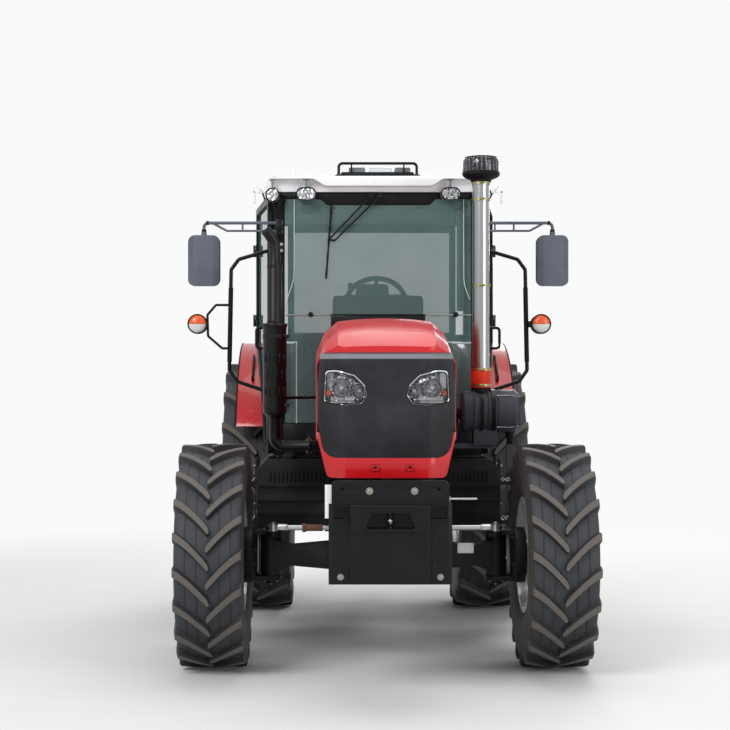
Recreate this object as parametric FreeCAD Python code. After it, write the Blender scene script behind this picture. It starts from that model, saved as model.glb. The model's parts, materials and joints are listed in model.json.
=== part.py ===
import FreeCAD, Part

import math
import os

from FreeCAD import Vector

os.makedirs("parts", exist_ok=True)

# Millimetres. The tractor faces -Y, its left side is +X, the ground is Z = 0 and the origin
# is on the ground under the middle of its footprint.

# Overall layout
front_overhang = 1100.0
wheelbase = 2400.0
rear_overhang = 1060.0
front_track_half = 957.0
rear_track_half = 810.0

# Tyres and rims: radius to the lugs' tips, section width, bead seat radius, rim width
front_tyre_radius = 632.5
front_tyre_width = 378.0
front_seat_radius = 305.0
front_rim_width = 330.0
front_lug_height = 36.0
rear_tyre_radius = 877.5
rear_tyre_width = 467.0
rear_seat_radius = 483.0
rear_rim_width = 406.0
rear_lug_height = 42.0
lugs_per_side = 20
lug_slant = 0.88
lug_top_width = 46.0
lug_base_width = 78.0
lug_shoulder_drop = 6.0
rim_wall = 9.0
rim_flange_height = 24.0
rim_well_depth = 38.0
disc_thickness = 12.0
hand_holes = 8

# Clearances
seat_gap = 0.3
door_gap = 6.0
hinge_gap = 0.1

# Front axle and steering
kingpin_offset = 317.0
kingpin_radius = 20.0
axle_head_radius = 58.0
axle_head_height = 230.0
knuckle_drum_radius = 158.0
knuckle_drum_length = 85.0
drum_offset = 75.0
ear_gap = 2.0
ear_thickness = 26.0
spindle_radius = 50.0
trunnion_radius = 55.0
steer_arm_length = 150.0
steer_rod_radius = 15.0
steer_cylinder_radius = 36.0
steer_cylinder_length = 360.0

# Chassis castings
bolster_half_width = 230.0
bolster_over_axle = 112.5
bolster_top = 1030.0
bolster_front = 505.0
bolster_back = 260.0
engine_half_width = 230.0
engine_top = 1620.0
engine_front_reach = 300.0
sump_bottom = 700.0
radiator_half = 270.0
gearbox_half_width = 200.0
gearbox_top = 1060.0
trumpet_radius = 150.0
hub_flange_radius = 130.0

# Front ballast
weight_half_width = 310.0
weight_bottom = 600.0
weight_top = 1005.0
weight_depth = 450.0
weight_panel_half = 200.0
plate_top = 1122.0
plate_hole_radius = 9.0
plate_hole_x = 240.0
plate_hole_z = 1078.0

# Hood
hood_front = 600.0
hood_gap = 55.0
hood_wall = 6.0
hood_bottom = 1300.0
hood_half_width = 385.0
hood_nose_half = 378.0
hood_rear_top = 2000.0
hood_crest_top = 1975.0
hood_crease_top = 1895.0
hood_band_top = 1807.0
nose_flat_half = 240.0
nose_sweep = 100.0
mask_top = 1772.0
mask_bottom = 1212.0
mask_half_width = 372.0
mask_depth = 150.0
mask_wall = 14.0
lip_bottom = 1105.0
lip_half_width = 318.0
lip_wall = 10.0
hood_hinge_drop = 60.0
hood_hinge_reach = 40.0

# Cab
cab_reach = 1370.0
cab_tail = 180.0
cab_door_length = 858.0
cab_front_half = 660.0
cab_mid_half = 780.0
cab_rear_half = 730.0
cab_height = 1675.0
floor_over_axle = 272.5
floor_thickness = 20.0
pillar_size = 60.0
glass_thickness = 6.0
door_thickness = 36.0
door_arch_clearance = 110.0
firewall_half = 300.0
firewall_over_hood = 40.0
header_height = 73.0
header_side_height = 35.0
roof_height = 125.0
roof_overhang = 110.0

# Fenders
fender_clearance = 142.5
fender_wall = 12.0
fender_outer = 935.0
fender_side_gap = 20.5

# Stacks beside the hood
stack_reach = 480.0
exhaust_x = -640.0
exhaust_feed_z = 1228.0
intake_x = 610.0
muffler_radius = 71.5
exhaust_pipe_radius = 34.0
intake_radius = 50.0
intake_top = 2840.0
bowl_radius = 111.0
filter_radius = 130.0
filter_z = 1440.0

# Mirrors, rails and lamps
mirror_x = 1105.0
mirror_width = 205.0
mirror_height = 320.0
rail_x = 945.0
rail_radius = 12.0
signal_radius = 62.0

# Steering wheel
steering_radius = 195.0
steering_tilt = 50.0
steering_over_floor = 1000.0

# Rear hitch
link_drop = 317.5
link_pivot_back = 60.0
link_x = 330.0
link_spread = 90.0
link_ball_radius = 14.25
link_pin_radius = 16.0
link_depth = 60.0
lift_shaft_radius = 30.0
lift_pin_radius = 10.0
lift_over_axle = 352.5
lift_arm_length = 270.0
top_link_over_axle = 82.5
top_link_length = 590.0
pto_radius = 17.5
pto_length = 90.0
pto_drop = 217.5
drawbar_z = 400.0
drawbar_thickness = 32.0

# Places that follow from the layout
overall_length = front_overhang + wheelbase + rear_overhang
front_y = -overall_length / 2
rear_y = overall_length / 2
front_axle_y = front_y + front_overhang
rear_axle_y = front_axle_y + wheelbase
axle_z = front_tyre_radius
rear_axle_z = rear_tyre_radius
kingpin_x = front_track_half - kingpin_offset
cab_front = rear_axle_y - cab_reach
cab_rear = rear_axle_y + cab_tail
floor_top = rear_axle_z + floor_over_axle
cab_top = floor_top + cab_height
roof_top = cab_top + roof_height
fender_radius = rear_tyre_radius + fender_clearance
fender_top = rear_axle_z + fender_radius
fender_inner = rear_track_half - rear_tyre_width / 2 - fender_side_gap
hood_y = front_axle_y - hood_front
hood_back = cab_front - hood_gap
link_pivot_z = rear_axle_z - link_drop
link_y = rear_axle_y + link_pivot_back
door_angle = math.degrees(math.asin((cab_mid_half - cab_front_half) / cab_door_length))
cab_mid = cab_front + cab_door_length * math.cos(math.radians(door_angle))


def box(x0, x1, y0, y1, z0, z1):
    return Part.makeBox(x1 - x0, y1 - y0, z1 - z0, Vector(x0, y0, z0))


def cylinder(radius, start, end):
    axis = end.sub(start)
    return Part.makeCylinder(radius, axis.Length, start, axis)


def corner_arc(before, corner, after, radius):
    """Start, crown and end of the arc that rounds a corner between two straight runs."""
    toward = before.sub(corner).normalize()
    away = after.sub(corner).normalize()
    half = toward.getAngle(away) / 2
    cut = radius / math.tan(half)
    start = corner.add(Vector(toward).multiply(cut))
    end = corner.add(Vector(away).multiply(cut))
    middle = toward.add(away).normalize()
    crown = corner.add(Vector(middle).multiply(radius / math.sin(half) - radius))
    return start, crown, end


def prism(points, plane, start, end):
    """Polygon of (across, up) points, pushed along its plane's normal. A third value rounds a corner."""
    place = {
        "yz": lambda a, b: Vector(start, a, b),
        "xz": lambda a, b: Vector(a, start, b),
        "xy": lambda a, b: Vector(a, b, start),
    }[plane]
    normal = {"yz": Vector(1, 0, 0), "xz": Vector(0, 1, 0), "xy": Vector(0, 0, 1)}[plane]
    corners = [place(*point[:2]) for point in points]
    bends = []
    for number, point in enumerate(points):
        corner = corners[number]
        if len(point) > 2:
            after = corners[(number + 1) % len(corners)]
            bends.append(corner_arc(corners[number - 1], corner, after, point[2]))
        else:
            bends.append((corner, None, corner))
    edges = []
    for number, (begin, crown, finish) in enumerate(bends):
        last = bends[number - 1][2]
        if begin.sub(last).Length > 0.001:
            edges.append(Part.LineSegment(last, begin).toShape())
        if crown:
            edges.append(Part.Arc(begin, crown, finish).toShape())
    return Part.Face(Part.Wire(edges)).extrude(normal.multiply(end - start))


def mirrored(shape):
    return shape.mirror(Vector(0, 0, 0), Vector(1, 0, 0))


def both_sides(points):
    """Adds the mirror image of a right-hand outline, last point first."""
    return points + [(-point[0],) + tuple(point[1:]) for point in reversed(points)]


def fuse(shapes):
    return shapes[0].fuse(shapes[1:]).removeSplitter()


def bar(start, end, width, depth):
    """Square bar between two points."""
    axis = end.sub(start)
    blank = Part.makeBox(width, depth, axis.Length, Vector(-width / 2, -depth / 2, 0))
    blank.Placement = FreeCAD.Placement(start, FreeCAD.Rotation(Vector(0, 0, 1), axis))
    return blank


def tube(points, radius, bend):
    """Round bar along straight runs joined by tangent arcs."""
    corners = [Vector(*point) for point in points]
    edges = []
    last = corners[0]
    for before, corner, after in zip(corners, corners[1:], corners[2:]):
        start, crown, end = corner_arc(before, corner, after, bend)
        edges.append(Part.LineSegment(last, start).toShape())
        edges.append(Part.Arc(start, crown, end).toShape())
        last = end
    edges.append(Part.LineSegment(last, corners[-1]).toShape())
    ring = Part.Wire([Part.Circle(corners[0], corners[1].sub(corners[0]), radius).toShape()])
    return Part.Wire(edges).makePipeShell([ring], True, False)


def revolved(profile, centre, axis):
    """Closed profile of (along, radius) points turned about an axis along X or Z."""
    if axis.x:
        corners = [Vector(centre.x + along, centre.y, centre.z + radius) for along, radius in profile]
    else:
        corners = [Vector(centre.x + radius, centre.y, centre.z + along) for along, radius in profile]
    face = Part.Face(Part.makePolygon(corners + corners[:1]))
    return face.revolve(centre, axis, 360)


def solid_of(faces):
    """Solid from the corner lists of its flat faces."""
    shell = Part.Shell([Part.Face(Part.makePolygon(corners + corners[:1])) for corners in faces])
    shell.sewShape()
    solid = Part.Solid(shell)
    if solid.Volume < 0:
        solid.reverse()
    return solid


def write(name, shape):
    solids = shape.Solids
    if len(solids) == 1:
        shape = solids[0]
    else:
        shape = Part.makeCompound(solids)
    shape.exportStep(os.path.join("parts", name + ".step"))


# Wheels
def tyre(x, y, radius, width, seat_radius, rim_width, lug_height):
    """Closed skin of flat facets: slanted bars that alternate left and right, noses leading."""
    half = width / 2
    height = radius - seat_radius
    bead = rim_width / 2 - rim_wall - seat_gap
    crown = radius - lug_height
    pitch = 2 * math.pi / lugs_per_side
    upper = lug_top_width / 2 / radius
    lower = lug_base_width / 2 / radius
    sweep = half * lug_slant / radius
    nose_reach = radius / math.cos(upper)
    facet_reach = 1 / math.cos(pitch / 2 - lower)
    # axial place, radius
    rings = [
        (half * 0.985, crown - height * 0.03),
        (half, seat_radius + height * 0.55),
        (half * 0.97, seat_radius + height * 0.32),
        (bead, (seat_radius + rim_flange_height + seat_gap) * facet_reach),
        (bead, (seat_radius + seat_gap) * facet_reach),
    ]
    shoulder_x, foot = rings[0]

    def point(along, angle, reach):
        return Vector(x + along, y + reach * math.cos(angle), radius + reach * math.sin(angle))

    faces = []
    bore = []
    for side in (1, -1):
        feet = []
        for number in range(lugs_per_side):
            nose = math.radians(270) + pitch * (number + (0 if side > 0 else 0.5))
            tail = nose - sweep
            feet += [tail - lower, tail + lower]
            # angle from the bar's middle line, nose radius, shoulder place, shoulder radius
            bar_edges = [
                (-lower, crown, shoulder_x, foot),
                (-upper, nose_reach, half * 0.95, radius - lug_shoulder_drop),
                (upper, nose_reach, half * 0.95, radius - lug_shoulder_drop),
                (lower, crown, shoulder_x, foot),
            ]
            front = [point(0, nose + turn, reach) for turn, reach, along, low in bar_edges]
            back = [point(side * along, tail + turn, low) for turn, reach, along, low in bar_edges]
            gap = [point(0, nose + turn, crown) for turn in (pitch / 2 - lower, pitch / 2 + lower,
                                                             pitch - lower)]
            following = point(side * shoulder_x, tail + pitch - lower, foot)
            faces += [front, back]
            for a, b, c, d in zip(front, front[1:], back, back[1:]):
                faces += [[a, b, c], [b, d, c]]
            faces += [[front[3], gap[0], back[3]], [gap[0], following, back[3]]]
            faces += [[gap[0], gap[1], following], [gap[1], gap[2], following]]
        loops = [[point(side * along, angle, reach) for angle in feet] for along, reach in rings]
        for loop, below in zip(loops, loops[1:]):
            for a, b, c, d in zip(loop, loop[1:] + loop[:1], below, below[1:] + below[:1]):
                faces.append([a, b, d, c])
        bore.append(loops[-1])
    left, right = bore
    for a, b, c, d in zip(left, left[1:] + left[:1], right, right[1:] + right[:1]):
        faces += [[a, b, c], [b, d, c]]
    return solid_of(faces)


def rim(x, y, radius, seat_radius, rim_width, disc_x, hub_radius, hub_start, hole_radius):
    """Rim barrel with its flanges, drop centre, dished disc and hub, for the +X side."""
    half = rim_width / 2
    centre = Vector(x, y, radius)
    axis = Vector(1, 0, 0)
    top = seat_radius + rim_flange_height
    ledge = seat_radius - 4
    well = seat_radius - rim_well_depth
    outline = [(-half, top), (-half + rim_wall, top), (-half + rim_wall, seat_radius), (-half + 60, ledge),
               (-half + 85, well), (half - 105, well), (half - 80, ledge), (half - rim_wall, seat_radius),
               (half - rim_wall, top), (half, top), (half, seat_radius - rim_wall),
               (half - 76, ledge - rim_wall),
               (half - 100, well - rim_wall), (-half + 80, well - rim_wall), (-half + 56, ledge - rim_wall),
               (-half, seat_radius - rim_wall)]
    barrel = revolved(outline, centre, axis)
    hub_end = disc_x - x
    rim_end = half - 96
    dish = [(hub_end, 0), (hub_end + disc_thickness, 0), (hub_end + disc_thickness, hub_radius + 20),
            (rim_end, well - rim_wall + 1), (rim_end - disc_thickness, well - rim_wall + 1),
            (hub_end, hub_radius + 32)]
    disc = revolved(dish, centre, axis)
    circle = (hub_radius + 32 + well) / 2
    for number in range(hand_holes):
        angle = 2 * math.pi * (number + 0.5) / hand_holes
        hole = Vector(hub_end + x - 40, y + circle * math.cos(angle), radius + circle * math.sin(angle))
        disc = disc.cut(Part.makeCylinder(hole_radius, rim_width, hole, axis))
    hub = cylinder(hub_radius, Vector(hub_start, y, radius), Vector(disc_x, y, radius))
    hub = hub.cut(cylinder(spindle_radius + seat_gap, Vector(hub_start, y, radius),
                           Vector(disc_x - 10, y, radius)))
    cap = cylinder(hub_radius * 0.6, Vector(disc_x, y, radius), Vector(disc_x + 60, y, radius))
    return fuse([barrel, disc, hub, cap])


drum_start = kingpin_x + drum_offset
front_hub_start = drum_start + knuckle_drum_length + seat_gap
front_disc_x = front_hub_start + 60
rear_hub_start = rear_track_half - 48
rear_disc_x = rear_hub_start + 30
front_tyre = tyre(front_track_half, front_axle_y, front_tyre_radius, front_tyre_width,
                  front_seat_radius, front_rim_width, front_lug_height)
front_rim = rim(front_track_half, front_axle_y, front_tyre_radius, front_seat_radius, front_rim_width,
                front_disc_x, 110.0, front_hub_start, 22.0)
rear_tyre = tyre(rear_track_half, rear_axle_y, rear_tyre_radius, rear_tyre_width,
                 rear_seat_radius, rear_rim_width, rear_lug_height)
rear_rim = rim(rear_track_half, rear_axle_y, rear_tyre_radius, rear_seat_radius, rear_rim_width,
               rear_disc_x, 120.0, rear_hub_start, 36.0)
for place, rubber, steel in (("front", front_tyre, front_rim), ("rear", rear_tyre, rear_rim)):
    write("tyre_" + place + "_left", rubber)
    write("tyre_" + place + "_right", mirrored(rubber))
    write("rim_" + place + "_left", steel)
    write("rim_" + place + "_right", mirrored(steel))

# Front axle, knuckles and steering
head_top = axle_z + axle_head_height / 2
head_bottom = axle_z - axle_head_height / 2
steer_y = front_axle_y - steer_arm_length
rod_z = head_top + ear_gap + ear_thickness + 24
eye_x = kingpin_x - 20


def axle_half():
    sections = []
    # distance from the middle, half depth, half height
    rows = [(0, 95, 110), (230, 72, 82), (kingpin_x - 120, 50, 58), (kingpin_x - 20, 56, 88)]
    for x, depth, height in rows:
        corners = [(-depth, -height), (depth, -height), (depth, height), (-depth, height)]
        points = [Vector(x, front_axle_y + a, axle_z + b) for a, b in corners]
        sections.append(Part.makePolygon(points + points[:1]))
    beam = Part.makeLoft(sections, True, True)
    head = cylinder(axle_head_radius, Vector(kingpin_x, front_axle_y, head_bottom),
                    Vector(kingpin_x, front_axle_y, head_top))
    bore = cylinder(kingpin_radius + seat_gap, Vector(kingpin_x, front_axle_y, head_bottom - 1),
                    Vector(kingpin_x, front_axle_y, head_top + 1))
    return beam.fuse(head).cut(bore)


def steering_barrel():
    saddle = prism([(front_axle_y - 60, axle_z + 50), (front_axle_y - 60, axle_z + 98),
                    (steer_y + 42, axle_z + 98), (steer_y + 34, rod_z), (steer_y - 34, rod_z),
                    (steer_y - 40, axle_z + 76), (steer_y - 16, axle_z + 50)], "yz", -120, 120)
    half = steer_cylinder_length / 2
    pieces = [saddle, cylinder(steer_cylinder_radius, Vector(-half, steer_y, rod_z),
                               Vector(half, steer_y, rod_z))]
    for sign in (-1, 1):
        pieces.append(cylinder(steer_cylinder_radius + 4, Vector(sign * (half - 26), steer_y, rod_z),
                               Vector(sign * half, steer_y, rod_z)))
    return pieces


beam = axle_half()
middle = Part.makeSphere(150, Vector(0, front_axle_y, axle_z))
middle = middle.common(box(-140, 140, front_axle_y - 130, front_axle_y + 130, axle_z - 135, axle_z + 105))
trunnion = cylinder(trunnion_radius, Vector(0, front_axle_y - 255, axle_z),
                    Vector(0, front_axle_y + 255, axle_z))
front_axle = fuse([beam, mirrored(beam), middle, trunnion] + steering_barrel())
write("front_axle", front_axle.cut(cylinder(steer_rod_radius + seat_gap, Vector(-400, steer_y, rod_z),
                                            Vector(400, steer_y, rod_z))))

rod = cylinder(steer_rod_radius, Vector(-eye_x, steer_y, rod_z), Vector(eye_x, steer_y, rod_z))
eyes = [cylinder(27, Vector(sign * eye_x, steer_y, rod_z - 18), Vector(sign * eye_x, steer_y, rod_z + 18))
        for sign in (-1, 1)]
write("steering_rod", fuse([rod] + eyes))


def knuckle():
    centre = Vector(drum_start, front_axle_y, axle_z)
    length = knuckle_drum_length
    drum = revolved([(0, 0), (0, knuckle_drum_radius - 44), (16, knuckle_drum_radius - 10),
                     (29, knuckle_drum_radius),
                     (length, knuckle_drum_radius), (length, 0)], centre, Vector(1, 0, 0))
    spindle = cylinder(spindle_radius, centre, Vector(front_disc_x - 10 - seat_gap, front_axle_y, axle_z))
    pieces = [drum, spindle]
    for sign, face in ((1, head_top), (-1, head_bottom)):
        low, high = sorted((face + sign * ear_gap, face + sign * (ear_gap + ear_thickness)))
        ear = cylinder(62, Vector(kingpin_x, front_axle_y, low), Vector(kingpin_x, front_axle_y, high))
        web = box(kingpin_x, drum_start + 30, front_axle_y - 62, front_axle_y + 62, low, high)
        pin = cylinder(kingpin_radius, Vector(kingpin_x, front_axle_y, face - sign * 60),
                       Vector(kingpin_x, front_axle_y, face + sign * (ear_gap + ear_thickness)))
        cap = cylinder(38, Vector(kingpin_x, front_axle_y, high if sign > 0 else low - 16),
                       Vector(kingpin_x, front_axle_y, high + 16 if sign > 0 else low))
        pieces += [ear, web, pin, cap]
    top = head_top + ear_gap
    arm = prism([(eye_x - 27, steer_y), (eye_x + 27, steer_y), (kingpin_x + 40, front_axle_y),
                 (kingpin_x - 40, front_axle_y)], "xy", top, top + ear_thickness)
    boss = cylinder(27, Vector(eye_x, steer_y, top), Vector(eye_x, steer_y, rod_z - 18 - 1.5))
    return fuse(pieces + [arm, boss])


left_knuckle = knuckle()
write("knuckle_left", left_knuckle)
write("knuckle_right", mirrored(left_knuckle))

# Front support, ballast, radiator and engine
support_front = front_axle_y - bolster_front
support_back = front_axle_y + bolster_back
bolster_bottom = axle_z + bolster_over_axle
carrier_y = front_y + 18
carrier_bottom = weight_top + seat_gap
engine_front = front_axle_y - engine_front_reach
engine_back = cab_front - 270


def front_support():
    half = bolster_half_width
    bolster = prism(both_sides([(half, bolster_bottom, 20), (half, bolster_top, 20)]), "xz", support_front,
                    support_back)
    relief = box(-half - 1, half + 1, steer_y - 48, steer_y + 48, bolster_bottom - 1, rod_z + 52)
    carrier = box(-250, 250, carrier_y, support_front, carrier_bottom, bolster_top)
    cross = prism(both_sides([(weight_half_width - 15, carrier_bottom),
                              (weight_half_width - 15, plate_top, 24)]),
                  "xz", carrier_y, carrier_y + 26)
    for sign in (-1, 1):
        cross = cross.cut(cylinder(plate_hole_radius, Vector(sign * plate_hole_x, carrier_y - 1,
                                                             plate_hole_z),
                                   Vector(sign * plate_hole_x, carrier_y + 60, plate_hole_z)))
    pieces = [bolster.cut(relief), carrier, cross]
    for sign in (-1, 1):
        rib = prism([(carrier_y + 20, bolster_top - 10), (carrier_y + 20, plate_top - 30),
                     (carrier_y + 80, plate_top - 30),
                     (support_front + 40, bolster_top + 20), (support_front + 40, bolster_top - 10)],
                    "yz", sign * 198, sign * 222)
        pieces.append(rib)
    for start in (front_axle_y - 250, front_axle_y + 195):
        hanger = prism(both_sides([(60, axle_z - 75, 24), (120, axle_z), (120, bolster_bottom + 10)]),
                       "xz", start, start + 60)
        pieces.append(hanger.cut(cylinder(trunnion_radius + seat_gap, Vector(0, start - 1, axle_z),
                                          Vector(0, start + 61, axle_z))))
    return fuse(pieces)


write("front_support", front_support())


def front_weight():
    back = front_y + weight_depth
    panel = front_y + 14
    side = front_y + 26
    half = weight_half_width
    profile = prism([(panel, weight_bottom, 26), (panel, weight_top, 10), (back, weight_top, 20),
                     (back, weight_bottom + 90, 40), (back - 90, weight_bottom, 40)], "yz", -half, half)
    plan = prism(both_sides([(weight_panel_half, panel), (weight_panel_half + 10, side), (half, side, 22),
                             (half, back)]),
                 "xy", weight_bottom, weight_top)
    block = profile.common(plan)
    mouth = prism(both_sides([(125, 880, 10), (95, 960, 10)]), "xz", front_y - 1, front_y + 110)
    block = block.cut(mouth)
    pin_y = front_y + 62
    pieces = [cylinder(13, Vector(0, pin_y, 870), Vector(0, pin_y, 970)),
              cylinder(22, Vector(0, pin_y, 898), Vector(0, pin_y, 912)),
              box(-128, 128, front_y, panel + 4, 868, 880), box(-180, 180, front_y + 6, panel + 4, 851,
                                                                859)]
    for sign in (-1, 1):
        inner, outer = sorted((sign * 208, sign * 284))
        block = block.cut(box(inner, outer, front_y - 1, side + 52, 930, 993))
        pieces.append(box(inner, outer, front_y + 8, side + 4, 921, 930))
    return fuse([block] + pieces)


write("front_weight", front_weight())

upper = prism(both_sides([(engine_half_width, bolster_top + seat_gap),
                          (engine_half_width, engine_top, 40)]),
              "xz", engine_front, engine_back)
sump = prism(both_sides([(engine_half_width - 60, sump_bottom, 30),
                         (engine_half_width - 20, sump_bottom + 80),
                         (engine_half_width - 20, bolster_top + 1)]), "xz", support_back + seat_gap,
             engine_back)
write("engine_block", fuse([upper, sump]))

radiator_y = front_axle_y - 440
write("radiator", box(-radiator_half, radiator_half, radiator_y, radiator_y + 90, bolster_top + seat_gap,
                      mask_top + 8))

# Transmission and rear axle
gearbox_back = rear_axle_y - 520
centre_bottom = rear_axle_z - 337.5
centre_top = rear_axle_z + 222.5


def gearbox():
    start = engine_back + seat_gap
    sections = []
    # y, half width, bottom, top
    rows = [(start, 225, 610, 1180), (start + 140, 225, 610, 1180),
            (start + 270, gearbox_half_width, centre_bottom + 20, gearbox_top),
            (gearbox_back, gearbox_half_width, centre_bottom + 20, gearbox_top)]
    for y, half, bottom, top in rows:
        outline = both_sides([(half - 60, bottom), (half, bottom + 60), (half, top - 60), (half - 60, top)])
        points = [Vector(x, y, z) for x, z in outline]
        sections.append(Part.makePolygon(points + points[:1]))
    return Part.makeLoft(sections, True, True)


write("transmission", gearbox())

housing_back = rear_axle_y + 260
lift_pivot_z = rear_axle_z + lift_over_axle
lift_y = cab_rear + 42
top_z = rear_axle_z + top_link_over_axle
top_y = housing_back + 48


def rear_axle():
    centre = prism(both_sides([(170, centre_bottom), (220, centre_bottom + 60), (220, centre_top - 60),
                               (170, centre_top)]),
                   "xz", gearbox_back + seat_gap, housing_back)
    pieces = [centre]
    trumpet_end = rear_hub_start - 62
    for sign in (-1, 1):
        start = Vector(sign * 210, rear_axle_y, rear_axle_z)
        pieces.append(Part.makeCone(trumpet_radius, 105, trumpet_end - 210, start, Vector(sign, 0, 0)))
        root = Vector(sign * trumpet_end, rear_axle_y, rear_axle_z)
        pieces.append(cylinder(hub_flange_radius, root, Vector(sign * (rear_hub_start - seat_gap),
                                                               rear_axle_y, rear_axle_z)))
        pieces.append(cylinder(spindle_radius, root, Vector(sign * (rear_disc_x - 10 - seat_gap),
                                                            rear_axle_y, rear_axle_z)))
        for y in (rear_axle_y - 300, rear_axle_y + 100):
            pieces.append(box(sign * 160 - 45, sign * 160 + 45, y - 45, y + 45, centre_top - 200,
                              floor_top - floor_thickness - seat_gap))
    lift_top = lift_pivot_z + 55
    housing = prism([(cab_rear + 4, centre_top - 10), (cab_rear + 4, lift_top, 20),
                     (housing_back, lift_top, 20),
                     (housing_back, centre_top - 10)], "yz", -150, 150)
    pieces.append(housing.cut(cylinder(lift_shaft_radius + hinge_gap, Vector(-160, lift_y, lift_pivot_z),
                                       Vector(160, lift_y, lift_pivot_z))))
    for x in (-39, 23):
        pieces.append(prism([(housing_back - 5, top_z - 34), (housing_back - 5, top_z + 34),
                             (top_y + 24, top_z + 24, 16),
                             (top_y + 24, top_z - 24, 16)], "yz", x, x + 16))
    pieces.append(cylinder(12, Vector(-30, top_y, top_z), Vector(30, top_y, top_z)))
    pieces.append(cylinder(link_pin_radius, Vector(-link_x - 24, link_y, link_pivot_z),
                           Vector(link_x + 24, link_y, link_pivot_z)))
    return fuse(pieces)


write("rear_axle", rear_axle())

# Hood, side grilles, mask and headlamps
hinge_z = hood_rear_top - hood_hinge_drop
hinge_y = hood_back - hood_hinge_reach


def hood_side_at(y):
    """Half width of the hood's flat side, which widens evenly from nose to cab."""
    share = (y - hood_y - 130) / (hood_back - hood_y - 130)
    return hood_nose_half + 2 + (hood_half_width - hood_nose_half - 2) * share


def hood_form(inset):
    """Closed hood between its cross sections, all of its skin drawn in by the inset."""
    bottom = hood_bottom - inset
    sections = []
    # y, crown height, crown drop at the shoulders, half width
    rows = [
        (hood_y, hood_band_top, 6, hood_nose_half),
        (hood_y + 130, hood_crease_top, 12, hood_side_at(hood_y + 130)),
        (hood_y + 520, hood_crest_top, 18, hood_side_at(hood_y + 520)),
        (hood_back, hood_rear_top, 20, hood_side_at(hood_back)),
    ]
    for y, top, drop, half in rows:
        y += inset
        side = [(half, bottom), (half, top - 190), (half - 45, top - 82), (half - 118, top - drop)]
        left = [Vector(x - inset, y, z - inset * 0.6) for x, z in side]
        right = [Vector(-point.x, y, point.z) for point in left]
        edges = [Part.LineSegment(a, b).toShape() for a, b in zip(left, left[1:])]
        edges.append(Part.Arc(left[-1], Vector(0, y, top - inset), right[-1]).toShape())
        edges += [Part.LineSegment(b, a).toShape() for a, b in zip(right[-2::-1], right[:0:-1])]
        edges.append(Part.LineSegment(right[0], left[0]).toShape())
        sections.append(Part.Wire(edges))
    return Part.makeLoft(sections, True, True)


def nose(inset):
    plan = both_sides([(nose_flat_half - 0.35 * inset, hood_y + inset, 80),
                       (hood_nose_half - 2 - inset, hood_y + nose_sweep + 0.4 * inset, 60),
                       (hood_half_width + 15, hood_y + 700), (hood_half_width + 15, hood_back + 60)])
    return prism(plan, "xy", lip_bottom - 2, hood_rear_top + 10)


def mask_outline(inset):
    half = mask_half_width - inset
    return both_sides([(mask_half_width - 37 - 0.7 * inset, mask_bottom + inset, 80 - inset),
                       (half, mask_bottom + 190, 60 - inset), (half, mask_top - 170, 60 - inset),
                       (half - 16, mask_top - inset, 12)])


def grille_outline(inset):
    """Leaning outline of a side grille in the plane of the hood's side."""
    low = hood_bottom + 100 + inset
    high = hood_bottom + 385 - inset
    return [(hood_y + 260 + inset, low, 25), (hood_y + 310 + inset, high, 25),
            (hood_y + 880 - inset, high, 25),
            (hood_y + 830 - inset, low, 25)]


def hood_shell():
    shell = hood_form(0).common(nose(0)).cut(hood_form(hood_wall).common(nose(hood_wall)))
    shell = shell.cut(box(-500, 500, hood_y - 1, hood_y + mask_depth, hood_bottom - 10,
                          mask_top + seat_gap))
    shell = shell.cut(prism(grille_outline(0), "yz", -500, 500))
    lip_top = hood_bottom + 45
    lip_back = hood_y + 300
    lip = prism(both_sides([(lip_half_width, lip_bottom, 30), (hood_nose_half + 1, lip_top)]), "xz",
                hood_y - 5, lip_back)
    hollow = prism(both_sides([(lip_half_width - 34, lip_bottom - 1),
                               (lip_half_width + 2 - lip_wall, lip_bottom + 45),
                               (hood_nose_half + 1 - lip_wall, lip_top + 1)]), "xz", hood_y - 6,
                   lip_back + 1)
    lip = lip.common(nose(0)).cut(hollow.common(nose(lip_wall)))
    lip = lip.cut(prism(mask_outline(-seat_gap), "xz", hood_y - 6, hood_y + mask_depth))
    pieces = [shell, lip]
    for sign in (-1, 1):
        eye = box(sign * 200 - 10, sign * 200 + 10, hinge_y - 20, hinge_y + 20, hinge_z - 20, hood_rear_top)
        eye = eye.common(hood_form(2))
        pieces.append(eye.cut(cylinder(8 + hinge_gap, Vector(sign * 200 - 20, hinge_y, hinge_z),
                                       Vector(sign * 200 + 20, hinge_y, hinge_z))))
    return fuse(pieces)


write("hood_shell", hood_shell())


def side_grille():
    front = hood_y + 200
    back = hood_y + 940
    plan = [(hood_side_at(front) - 4.5, front), (hood_side_at(front) - 1.5, front),
            (hood_side_at(back) - 1.5, back),
            (hood_side_at(back) - 4.5, back)]
    panel = prism(plan, "xy", hood_bottom, hood_crease_top).common(prism(grille_outline(seat_gap), "yz", 0,
                                                                         500))
    for number in range(9):
        slot_y = hood_y + 312 + number * 55
        slot = [(slot_y, hood_bottom + 130, 8), (slot_y + 38, hood_bottom + 360, 8),
                (slot_y + 64, hood_bottom + 360, 8),
                (slot_y + 26, hood_bottom + 130, 8)]
        panel = panel.cut(prism(slot, "yz", 0, 500))
    return panel


left_grille = side_grille()
write("side_grilles", Part.makeCompound([left_grille, mirrored(left_grille)]))

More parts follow.
